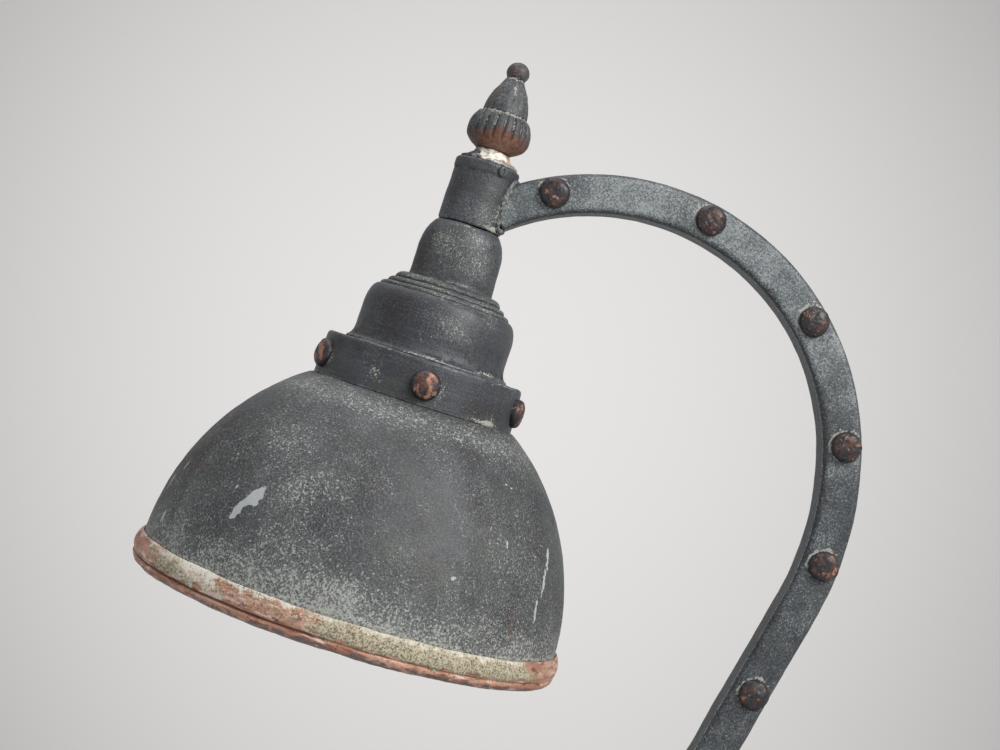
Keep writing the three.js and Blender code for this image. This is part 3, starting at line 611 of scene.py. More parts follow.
@dataclass(frozen=True)
class BlackenedSteel:
    """Mild steel blackened in a salt bath and left to age.

    The eye gets a dark blue-grey with violet-brown clouds, which also paint shade where a piece asks
    for it, a fine stipple of pale salts where moisture sat, bare grey edges and a few chips down to
    the primer.
    """

    name: str
    ground: str = "#3d3e43"
    cloud: str = "#4a4d51"
    umber_and_painted_shade: str = "#312d30"
    moss: str = "#4c4e47"
    haze: str = "#6b6f70"
    salts: str = "#a6a8a4"
    speck: float = 0.8
    speck_level: float = 0.6
    soft: float = 0.1
    drawn: float = 0.0
    rough: float = 0.54

    def make(self) -> bpy.types.Material:
        """Ground, clouds that also paint shade, grain, salts, flecks, chips, worn edges, darker hollows,
        rivet halos.
        """
        skin = Skin(self.name, self.ground, self.rough, 0.3)
        bloom, chip = skin.trait("bloom"), skin.trait("chip")
        drift = skin.spots(15, 0.5, edge=0.17, detail=3, seed=8)
        skin.coat(skin.spots(34, 0.5, edge=0.14, detail=4, seed=1), self.cloud, rough=self.rough - 0.05)
        # Violet-brown clouds at random, pushed up by the piece's trait into painted shade on its shaded
        # sides, corners and lower parts.
        shade = skin.spots(
            22, 0.6, edge=0.13, full=0.85, detail=4, seed=2, pushed=[(skin.trait("umber_and_painted_shade"), 0.3)]
        )
        skin.coat(shade, self.umber_and_painted_shade, rough=self.rough + 0.04)
        skin.coat(skin.spots(16, 0.57, edge=0.12, full=0.5, detail=3, seed=3), self.moss)
        if self.drawn:
            lines = skin.spots(
                0.7, 0.56, 0.1, full=self.drawn, detail=3, stretch=(0.04, 0.04, 1), lie=Lie.SKIN
            )
            skin.coat(lines, "#686c70", height=0.008)
        skin.coat(skin.spots(0.95, 0.5, edge=0.3, detail=3, grain=0.6, seed=13), height=0.1)
        skin.coat(skin.spots(0.7, 0.57, edge=0.1, full=0.6, seed=4), "#2a2b2e", height=-0.04)
        haze = skin.spots(
            self.speck,
            self.speck_level,
            edge=self.soft,
            full=0.75,
            detail=3,
            grain=0.6,
            seed=5,
            pushed=[(bloom, 0.14), (drift, 0.06)],
        )
        skin.coat(haze, self.haze, rough=0.7, metal=0.1, height=0.03)
        stipple = skin.spots(
            self.speck * 1.15,
            self.speck_level + 0.085,
            edge=0.6 * self.soft,
            full=0.85,
            detail=3,
            grain=0.6,
            seed=14,
            pushed=[(bloom, 0.14), (drift, 0.05)],
        )
        skin.coat(stipple, self.salts, rough=0.8, metal=0.0, height=0.05)
        flecks = skin.spots(1.5, 0.74, edge=0.03, full=0.9, detail=3, seed=6, pushed=[(bloom, 0.05)])
        skin.coat(flecks, "#b4b7b4", rough=0.8, metal=0.0, height=0.05)
        rust = skin.spots(4, 0.86, 0.2, detail=4, seed=9, pushed=[(skin.trait("rust"), 0.6)])
        skin.coat(rust, "#6a4638", rough=0.6)
        glow = skin.spots(1.6, 1.05, 0.2, full=0.7, detail=4, seed=15, pushed=[(skin.trait("rust"), 0.55)])
        skin.coat(glow, "#90705f", rough=0.55)
        skin.coat(
            skin.spots(2.4, 0.9, edge=0.04, full=0.95, detail=4, seed=7, pushed=[(chip, 0.75)]),
            "#a9aeb1",
            rough=0.7,
            metal=0.0,
            height=-0.06,
        )
        worn = skin.spots(2.2, 0.9, 0.14, full=0.6, detail=3, seed=10, pushed=[(skin.trait("edge"), 0.42)])
        skin.coat(worn, "#7c8183", rough=0.45, metal=0.6)
        # A near-black coat, strongest in the hollows of each section.
        hollow_dark = skin.spots(3, 0.74, 0.16, full=0.8, detail=3, seed=11, pushed=[(skin.trait("hollow"), 0.55)])
        skin.coat(hollow_dark, "#242427", rough=0.85)
        dust = skin.spots(
            0.9, 0.78, 0.07, full=0.9, detail=3, grain=0.6, seed=12, pushed=[(skin.trait("dust"), 0.4)]
        )
        skin.coat(dust, "#a9aba3", rough=0.85, metal=0.0, height=0.06)
        return skin.dressed()


@dataclass(frozen=True)
class VerdigrisCopper:
    """Rolled copper left outdoors: pink where it is rubbed, olive and cream crusts where it isn't."""

    name: str = "verdigris_copper"

    def make(self) -> bpy.types.Material:
        """Copper with pale streaks along it, partly painted highlights; brown tarnish, olive crust, cream
        and lime bloom, and a red-brown groove darkened round the back and left as painted shade.
        """
        skin = Skin(self.name, "#a87a66", 0.52, 0.3)
        patina, lime = skin.trait("patina"), skin.trait("lime")
        along = {"stretch": (0.22, 0.22, 1.0), "lie": Lie.SKIN}
        # The lighter streaks drawn out along the rim, palest in the last, are partly rubbed copper and
        # partly painted highlights.
        skin.coat(skin.spots(5, 0.5, 0.1, detail=5, grain=0.6, seed=21, **along), "#c29b89", rough=0.6)
        skin.coat(skin.spots(2.2, 0.57, 0.06, full=0.85, detail=5, seed=22, **along), "#7d5243", rough=0.5)
        skin.coat(skin.spots(2.6, 0.62, 0.05, detail=5, seed=23, **along), "#dcc4b6", metal=0.1)
        under = skin.spots(3, 0.7, 0.1, full=0.9, detail=5, seed=24, pushed=[(skin.trait("under"), 0.3)])
        skin.coat(under, "#6f6262", rough=0.5, metal=0.3)
        crust = skin.spots(2.4, 0.74, 0.1, detail=6, grain=0.65, seed=25, pushed=[(patina, 0.38)])
        skin.coat(crust, "#858069", rough=0.85, metal=0.0, height=0.08)
        skin.coat(skin.spots(1.5, 0.64, 0.05, full=0.8, detail=5, seed=30, **along), "#a08070", metal=0.0)
        mud = skin.spots(0.9, 0.8, 0.1, full=0.8, detail=4, seed=20, pushed=[(patina, 0.26)])
        skin.coat(mud, "#5b5646", rough=0.85, metal=0.0, height=-0.08)
        cream = skin.spots(
            0.9, 0.82, 0.08, full=0.85, detail=4, seed=26, pushed=[(patina, 0.22), (lime, 0.3)]
        )
        skin.coat(cream, "#bdb49f", rough=0.85, metal=0.0, height=0.06)
        white = skin.spots(1.6, 0.86, 0.09, full=0.9, detail=5, grain=0.6, seed=27, pushed=[(lime, 0.42)])
        skin.coat(white, "#cfccc3", rough=0.85, metal=0.0, height=0.06)
        skin.coat(skin.spots(1.1, 0.63, 0.04, full=0.75, detail=4, seed=28), "#3c322d", height=-0.08)
        # Red-brown tarnish in the groove, laid only round the back and the left, where it also paints the
        # shade of a deeper groove.
        groove = skin.spots(4, 0.8, 0.16, full=0.85, detail=4, seed=29, pushed=[(skin.trait("seam"), 0.6)])
        skin.coat(groove, "#5c3428", rough=0.6)
        return skin.dressed()


@dataclass(frozen=True)
class RubbedRivet:
    """Copper-plated iron rivets, darkened, with the crown rubbed back to the copper."""

    name: str = "rubbed_rivet_iron"

    def make(self) -> bpy.types.Material:
        """Dark iron, brown tarnish, copper on the crown, a pale highlight of worn metal."""
        skin = Skin(self.name, "#34343a", 0.38, 0.5)
        crown = skin.trait("crown")
        skin.coat(skin.spots(4.5, 0.5, 0.1, detail=4, seed=31), "#433b3c", rough=0.5)
        brown = skin.spots(4, 0.78, 0.12, full=0.85, detail=4, seed=36, pushed=[(crown, 0.25)])
        skin.coat(brown, "#6a4a3f", rough=0.45)
        copper = skin.spots(4.0, 0.85, 0.05, full=0.9, detail=5, seed=32, pushed=[(crown, 0.3)])
        skin.coat(copper, "#ab7c68", rough=0.46, metal=0.4, height=-0.05)
        skin.coat(skin.spots(1.3, 0.62, 0.05, full=0.8, detail=4, seed=34), "#231f21", height=-0.06)
        skin.coat(skin.spots(1.2, 0.66, 0.04, full=0.7, detail=4, seed=35), "#9b9892", rough=0.8, metal=0.0)
        return skin.dressed()


@dataclass(frozen=True)
class LimedZinc:
    """Cast zinc under the finial, with lime and old paint left on it."""

    name: str = "limed_zinc"

    def make(self) -> bpy.types.Material:
        """Lilac-grey zinc, white and cream patches, dark stains, and painted shade on the cap's left side.
        """
        skin = Skin(self.name, "#8f8b8c", 0.55, 0.3)
        lime, painted_shade = skin.trait("lime"), skin.trait("umber_and_painted_shade")
        skin.coat(skin.spots(4, 0.5, 0.08, detail=4, seed=41), "#a9a4a2")
        amber = skin.spots(3.5, 0.78, 0.1, detail=4, seed=42, pushed=[(skin.trait("rust"), 0.4)])
        skin.coat(amber, "#d9b98a", rough=0.7, metal=0.0)
        white = skin.spots(3.2, 0.72, 0.06, detail=4, seed=43, pushed=[(lime, 0.4)])
        skin.coat(white, "#efeae0", rough=0.8, metal=0.0, height=0.06)
        # Dark stains at random, gathered on the cap's left side as painted shade.
        dark = skin.spots(2.6, 0.66, 0.06, detail=4, seed=44, pushed=[(painted_shade, 0.3)])
        skin.coat(dark, "#4a4546", rough=0.6, height=-0.05)
        return skin.dressed()


@dataclass(frozen=True)
class Plain:
    """A metal, plastic or fibre with fine grain, darker clouds and its own bump.

    `cell` is the size of its grain in millimetres, and `relief` how high that grain stands.
    """

    name: str
    ground: str
    cloud: str
    mark: str
    rough: float
    metal: float = 0.0
    cell: float = 0.8
    relief: float = 0.02
    cloud_size: float = 12.0
    stretch: tuple[float, float, float] = (1.0, 1.0, 1.0)
    shader: tuple[tuple[str, float], ...] = ()

    def make(self) -> bpy.types.Material:
        """Ground, clouds, grain and small marks."""
        skin = Skin(self.name, self.ground, self.rough, self.metal)
        skin.coat(
            skin.spots(self.cloud_size, 0.5, 0.12, detail=3, seed=51), self.cloud, rough=self.rough * 1.15
        )
        grain = skin.spots(self.cell, 0.52, 0.2, detail=3, stretch=self.stretch, seed=52)
        skin.coat(grain, height=self.relief)
        skin.coat(skin.spots(self.cell * 3, 0.66, 0.04, full=0.6, detail=3, seed=53), self.mark)
        return skin.dressed(**dict(self.shader))


class Finishes:
    """Every material of the lamp, made once."""

    def __init__(self) -> None:
        self.dome = BlackenedSteel("blackened_spun_steel").make()
        self.turned = BlackenedSteel(
            "blackened_turned_steel",
            ground="#3b3e45",
            cloud="#464a52",
            speck=0.7,
            speck_level=0.66,
            drawn=0.2,
            rough=0.5,
        ).make()
        self.bar = BlackenedSteel(
            "blackened_bar_steel",
            ground="#3c4146",
            cloud="#474d53",
            umber_and_painted_shade="#2b2e34",
            moss="#4b4e4a",
            haze="#6a7176",
            salts="#969c9f",
            speck=0.75,
            speck_level=0.6,
            soft=0.2,
            rough=0.48,
        ).make()
        self.copper = VerdigrisCopper().make()
        self.rivet = RubbedRivet().make()
        self.zinc = LimedZinc().make()
        # Oil paint brushed inside the shade to throw the light down, yellowed by heat.
        self.reflector = Plain(
            "old_reflector_paint", "#d9d3c2", "#cbc2ab", "#8f8573", 0.5, cell=1.6, relief=0.03
        ).make()
        # Zinc-plated mild steel: cold grey with a dull spangle.
        self.steel = Plain("zinc_plated_steel", "#9b9da0", "#85888c", "#5d5f62", 0.38, 0.9).make()
        # Turned brass, darkened where fingers don't reach.
        self.brass = Plain("turned_brass", "#a98545", "#8c6d38", "#55432a", 0.34, 0.9).make()
        # Sand-cast iron, painted black: open grain and no gloss.
        self.iron = Plain(
            "cast_iron", "#2c2c2e", "#363435", "#1c1b1b", 0.8, 0.4, cell=1.2, relief=0.12
        ).make()
        # Pressed wool felt: matt, with a lie of short fibres.
        self.felt = Plain(
            "wool_felt",
            "#26332b",
            "#2f3d33",
            "#1a231e",
            0.95,
            cell=0.6,
            relief=0.1,
            shader=(("Sheen_Weight", 0.4), ("Sheen_Roughness", 0.5)),
        ).make()
        self.porcelain = Plain("glazed_porcelain", "#e7e3d9", "#dcd7ca", "#b9b2a2", 0.2, relief=0.005).make()
        # Etched inside: soft white, with the gloss of the outer face.
        self.pearl = Plain(
            "pearl_glass",
            "#f1efe9",
            "#e9e6de",
            "#dad6cc",
            0.3,
            relief=0.004,
            shader=(("Transmission_Weight", 0.35),),
        ).make()
        self.nickel = Plain("nickel_plate", "#b9b7b1", "#a5a29b", "#75726b", 0.28, 1.0, relief=0.006).make()
        # Compression-moulded phenolic: near black brown with a mottled filler.
        self.bakelite = Plain("bakelite", "#231a17", "#2e211c", "#150f0d", 0.36, relief=0.01).make()
        # Braided cotton over rubber: the weave is drawn at 0.9 mm.
        self.cotton = Plain(
            "cotton_braid", "#3a2c24", "#46362c", "#241a15", 0.95, cell=0.9, relief=0.15
        ).make()


# ---- Turned metalwork shared by the base and the head --------------------------------------------


def rolled_bead(
    wall: float, outer: float, bottom: float, top: float, tuck: float, hook: float
) -> Outline:
    """A bulging band, a groove under it, and a roll that tucks in beneath the sheet's edge."""
    back = outer - tuck - 1
    return (
        Outline(back, bottom + 1.2)
        .to((outer - tuck, bottom))
        .bend((outer - 0.3 * tuck, bottom + 0.1), (outer - 0.4, bottom + 2.2), (outer - 1.0, bottom + 4.6))
        .bend((outer - 1.5, bottom + 5.2), (outer - 1.9, bottom + 5.3), (outer - 0.7, bottom + 6.0), steps=8)
        .bend((outer + 0.4, bottom + 8.6), (outer + 0.1, top - 3.4), (wall + 1.2, top - 0.2))
        .to((wall + 0.2, top), (wall + 0.2, hook), (back, hook))
    )


def hexagon(across: float, bore: float, bottom: float, top: float) -> Surface:
    """A hexagon nut: its radius grows to the flats' distance over the cosine of the angle from each
    flat's middle, but stays inside the cone that chamfers the corners."""
    chamfer = 0.55 * across

    def shaping(turn: Array, radius: Array, height: Array) -> tuple[Array, Array]:
        flat = across / 2 / np.cos((turn + math.pi / 6) % (math.pi / 3) - math.pi / 6)
        near_face = np.minimum(height - bottom, top - height)
        limit = np.minimum(flat, chamfer + near_face / math.tan(math.radians(30)))
        return np.where(radius > (bore + across / 2) / 2, limit, radius), height

    half = across / 2
    outline = Outline(bore, bottom).to((half, bottom), (half, top), (bore, top))
    return turned(outline, 72, 0.5, 0.15, shaping=shaping)


@dataclass(frozen=True)
class DomedRivet:
    """A domed head on a short foot, with its crown slightly flattened by the hammer."""

    radius: float = 7.0
    rise: float = 4.4
    shank: float = 2.4
    rubbed: float = 1.0

    def head(self, outline: Outline, back: float, side: float, foot: float) -> Outline:
        """Adds the head, from the shank out over the crown.

        Args:
            outline: What the head is added to.
            back: Height of the head's seat.
            side: 1 for a head that faces up, -1 for one that faces down.
            foot: How far the head's edge reaches back past its seat.

        Returns:
            The outline.
        """
        r, crown = self.radius, back + side * self.rise
        outline.to((r, back - side * foot), (r + 0.15, back + side * 0.5))
        return outline.bend(
            (r + 0.2, back + side * 0.75 * self.rise), (0.62 * r, crown), (0.001, crown)
        ).to((0.0, crown))

    def dress(self, surface: Surface, seats: Sequence[float]) -> Surface:
        """Adds the `crown` trait: 1 on top of a head and 0 at its foot."""
        rise = np.min([np.abs(surface.grid[..., 2] - seat) for seat in seats], 0) / self.rise
        outside = np.abs(surface.grid[..., 2]) > 0.9 * min(abs(seat) for seat in seats)
        surface.traits["crown"] = self.rubbed * ease(rise, 0.15, 0.8) * outside
        return surface

    def tailed(self, grip: float, foot: float, seed: int) -> Surface:
        """A rivet with its seat at height 0 and a flat tail a grip below it."""
        start = Outline(0.0, -grip - 1.4).to((3.9, -grip - 1.4), (3.9, -grip), (self.shank, -grip))
        start.to((self.shank, -foot))
        piece = turned(self.head(start, 0.0, 1.0, foot), 48, 0.7, 0.3, [(0.1, 6.0), (0.04, 2.2)], seed=seed)
        surface = self.dress(piece, [0.0])
        surface.traits["crown"] *= surface.grid[..., 2] > 0
        return surface

    def through(self, thickness: float, seed: int) -> Surface:
        """A rivet with a head on each side of a bar."""
        seat = thickness / 2
        half = self.head(Outline(self.shank, 0.5), seat, 1.0, 0.05)
        upper = np.vstack(half.runs)
        outline = Outline(0.0, -upper[-1, 1]).to(*map(tuple, upper[-2::-1] * [1, -1]), *map(tuple, upper))
        piece = turned(outline, 48, 0.7, 0.3, [(0.12, 6.0), (0.05, 2.2)], seed=seed)
        return self.dress(piece, [seat, -seat])


def rivet_turns() -> list[float]:
    """The turns of the rivets round a collar, in degrees."""
    return [FIRST_RIVET_TURN + 360 * k / RIVET_COUNT for k in range(RIVET_COUNT)]


def rivet_halo(surface: Surface, height: float, radius: float) -> Array:
    """A pale ring of dust round each rivet of a collar, fading outwards and the same all round."""
    return surface.skin([Mark(turn, height, radius, radius) for turn in rivet_turns()])


# ---- Base ----------------------------------------------------------------------------------------


@dataclass
class Base:
    """Weighted base: pad, plate, low dome, rolled bead, riveted collar, switch and gland."""

    finishes: Finishes
    body: str = "base"
    foot_r: float = 100.0
    wall_r: float = 95.6
    sheet: float = 1.5
    pad_top: float = 3.0
    plate_bottom: float = 3.3
    bead_top: float = 14.4
    shell_bottom: float = 9.0
    upstand_r: float = 32.2
    upstand_top: float = 51.6
    collar_r: float = 36.0
    collar_bottom: float = 41.5
    collar_top: float = 56.3
    spigot_r: float = 8.0
    rivet_z: float = 48.2
    switch_reach: float = 66.0
    switch_z: float = 36.6
    switch_lean: float = 15.5
    lever_lean: float = 13.0
    gland_z: float = 21.0

    def give(
        self, name: str, surface: Surface, finish: bpy.types.Material,
        place: Place | None = None, body: str | None = None,
    ) -> None:
        """Hands a base piece over in place of the CAD node of its name."""
        node = name.removesuffix("_fine")
        hand_over(name, surface, place or upright(), body or self.body, [finish], [node])

    def build(self) -> None:
        """Makes every piece of the base."""
        f = self.finishes
        self.give("felt_pad_fine", self.pad(), f.felt)
        self.give("base_shell_fine", self.shell(), f.dome)
        self.give("base_bead_fine", self.bead(), f.copper)
        self.give("base_collar_fine", self.collar(), f.turned)
        washer = Outline(self.spigot_r + 0.4, 56.6).to((23, 56.6), (23, 58), (self.spigot_r + 0.4, 58))
        self.give("pivot_washer_fine", turned(washer, 96, 1.5, 0.25), f.brass)
        rivet = DomedRivet()
        seat = self.collar_r + 0.3
        grip = seat - self.upstand_r + self.sheet + 1.2
        for k, turn in enumerate(rivet_turns()):
            place = upright().outward(turn, self.rivet_z, seat)
            surface = rivet.tailed(grip, 1.1, seed=200 + k)
            self.give(f"base_rivet_{k + 1}_fine", surface, f.rivet, place=place)
        self.switch()
        self.gland()

    def pad(self) -> Surface:
        """Felt disc with a soft edge."""
        r = self.foot_r - 7
        outline = Outline(0, 0).to((r, 0)).bend((r + 0.5, 1.5), (r, self.pad_top), steps=8)
        outline.to((0, self.pad_top))
        return turned(outline, 128, 3.0, 0.4)

    def shell(self) -> Surface:
        """Low spun dome with an upstand under the collar."""
        wall, inside = self.wall_r, self.wall_r - self.sheet
        outline = (
            Outline(wall, self.shell_bottom)
            .to((wall, 12))
            .bend((wall, 31), (75, 37.5), (38, 41), steps=40)
            .bend((34, 41.3), (self.upstand_r, 42.4), steps=6)
            .to((self.upstand_r, self.upstand_top), (self.upstand_r - self.sheet, self.upstand_top))
            .to((self.upstand_r - self.sheet, 39.9), (38, 39.5))
            .bend((74, 36), (inside, 30), (inside, 12), steps=40)
            .to((inside, self.shell_bottom))
        )
        surface = turned(outline, 300, 1.6, 0.4, [(0.1, 45.0), (0.05, 12.0)], seed=3)
        z = surface.grid[..., 2]
        surface.traits["bloom"] = bell(z - 15, 7) + 0.8 * bell(z - 40, 2.5)
        surface.mark("chip", (-60, 30, 5, 2, 40), (150, 24, 7, 1.5, -60))
        return surface

    def bead(self) -> Surface:
        """Rolled copper bead that rounds off the foot."""
        outline = rolled_bead(
            self.wall_r, self.foot_r - 0.6, self.plate_bottom, self.bead_top, 4.2, self.shell_bottom - 0.3
        )
        return crusted(
            turned(outline, 360, 0.8, 0.4, [(0.12, 14.0), (0.06, 4.0)], seed=4), RIM_STRETCHES, 0.45
        )

    def collar(self) -> Surface:
        """Riveted collar with the plate that carries the pivot."""
        r, top, bore = self.collar_r, self.collar_top, self.spigot_r + 0.4
        inner = self.upstand_r + 0.3
        outline = (
            Outline(inner, self.collar_bottom)
            .to((r + 0.4, self.collar_bottom), (r - 0.4, top - 2.4))
            .bend((r - 0.5, top), (r - 2.8, top), steps=8)
            .to((bore, top), (bore, top - 3.6), (inner, top - 3.6))
        )
        surface = turned(outline, 192, 1.2, 0.3, [(0.05, 20.0)], seed=5)
        surface.traits["dust"] = 0.6 * rivet_halo(surface, self.rivet_z, 7.5)
        return surface

    def switch(self) -> None:
        """Toggle switch on the front shoulder: bush, nut, and the bat-shaped lever."""
        f, lean = self.finishes, math.radians(self.switch_lean)
        out, up = np.array([0, -math.sin(lean), math.cos(lean)]), np.array([1.0, 0.0, 0.0])
        place = Place(
            np.array([0, -self.switch_reach, self.switch_z]), np.stack([up, np.cross(out, up), out])
        )
        self.give("switch_nut_fine", hexagon(17, 6.2, 1.0, 3.6), f.nickel, place=place)

        def thread(turn: Array, radius: Array, height: Array) -> tuple[Array, Array]:
            """A screw thread: a sine of the height less the turn, on the bush's outer wall."""
            ridge = 0.16 * np.sin(2 * math.pi * height / 1.1 - turn)
            return radius + ridge * (radius > 5) * (height > -2), height

        bush = Outline(3.9, -3.2).to((5.85, -3.2), (5.85, 5.9), (5.4, 6.4), (3.9, 6.4))
        surface = turned(bush, 96, 0.3, 0.1, shaping=thread)
        hand_over("switch_bush", surface, place, self.body, [f.nickel])
        tilt = math.radians(self.switch_lean + self.lever_lean)
        out = np.array([0, -math.sin(tilt), math.cos(tilt)])
        pivot = place.carry(np.array([0, 0, 0.5]))
        bat = (
            Outline(0, -3).to((1.7, -2.4), (1.5, 6)).bend((1.8, 12), (2.9, 15), (2.8, 17.4))
            .bend((2.6, 19.8), (0, 19.8)).to((0, 19.8))
        )
        lever = turned(bat, 64, 0.5, 0.3)
        place = Place(pivot, np.stack([up, np.cross(out, up), out]))
        self.give("switch_lever_fine", lever, f.nickel, place=place, body="switch")

    def gland(self) -> None:
        """Moulded flex gland at the back, ribbed for the fingers."""
        bore, seat = 3.2, self.wall_r + 0.1

        def ribs(turn: Array, radius: Array, height: Array) -> tuple[Array, Array]:
            """Twenty-four ribs: the cosine of 24 turns, on the flange only."""
            flange = (radius > 6.2) & (height > seat + 0.4)
            return radius + 0.12 * np.cos(24 * turn) * flange, height

        outline = Outline(bore, 82.3).to(
            (4.4, 82.3), (4.4, seat), (6.5, seat), (6.5, seat + 2), (5, seat + 5.4), (bore, seat + 5.4)
        )
        surface = turned(outline, 96, 0.6, 0.35, shaping=ribs)
        place = upright().outward(90, self.gland_z)
        self.give("cable_gland_fine", surface, self.finishes.bakelite, place=place)


# ---- The copper bead's weathering ----------------------------------------------------------------


@dataclass(frozen=True)
class Stretch:
    """A stretch of the rim between two turns, in degrees, and how much crust and lime it holds."""

    start: float
    end: float
    patina: float
    lime: float


RIM_STRETCHES = (
    Stretch(-168, -146, 0.25, 0.3),
    Stretch(-146, -130, 0.9, 0.4),
    Stretch(-131, -121, 0.35, 0.85),
    Stretch(-121, -97, 0.35, 0.5),
    Stretch(-97, -34, 0.95, 0.4),
    Stretch(20, 64, 0.8, 0.4),
    Stretch(64, 92, 0.3, 0.7),
    Stretch(128, 168, 0.9, 0.3),
)


def crusted(surface: Surface, stretches: Sequence[Stretch], lip: float) -> Surface:
    """Adds `patina`, `lime`, `under` and `seam` to a bead.

    Each stretch rises and falls over 8 degrees with a ragged end, and thins out down on the lip. The
    lime lies thickest along the top edge, `under` is 1 where the roll faces down, and `seam` follows
    the groove round the back and the left, where it paints the shade of a deeper groove.

    Args:
        surface: The bead.
        stretches: How its crust changes round it.
        lip: The lip's height, as a share of the bead's height.

    Returns:
        The same surface.
    """
    grid = surface.grid
    turn = np.degrees(np.arctan2(grid[..., 1], grid[..., 0]))
    ragged = turn + 3 * ripple(grid, 9.0, 77) + 1.5 * ripple(grid, 3.0, 78)
    low, top = grid[..., 2].min(), grid[..., 2].max()
    share = (grid[..., 2] - low) / (top - low) + 0.05 * ripple(grid, 8.0, 79)
    on_band = ease(share, lip - 0.08, lip + 0.08)
    surface.traits["patina"] = np.zeros(grid.shape[:2])
    surface.traits["lime"] = np.zeros(grid.shape[:2])
    for stretch in stretches:
        inside = ease(ragged, stretch.start - 4, stretch.start + 4) * ease(
            -ragged, -stretch.end - 4, 4 - stretch.end
        )
        surface.traits["patina"] += stretch.patina * inside * (0.2 + 0.8 * on_band)
        surface.traits["lime"] += stretch.lime * inside * (0.25 + 0.75 * on_band)
    surface.traits["lime"] += 0.45 * ease(share, 0.8, 0.95)
    surface.traits["under"] = 1 - ease(share, 0.1, 0.3)
    # The groove darkens only round the back and the left: painted shade of a deeper groove there.
    side = ease(-turn, 84, 100) + ease(turn, 70, 90)
    surface.traits["seam"] = surface.traits["hollow"] * np.clip(side, 0, 1) * (share < 0.6)
    return surface


# ---- Arm -----------------------------------------------------------------------------------------


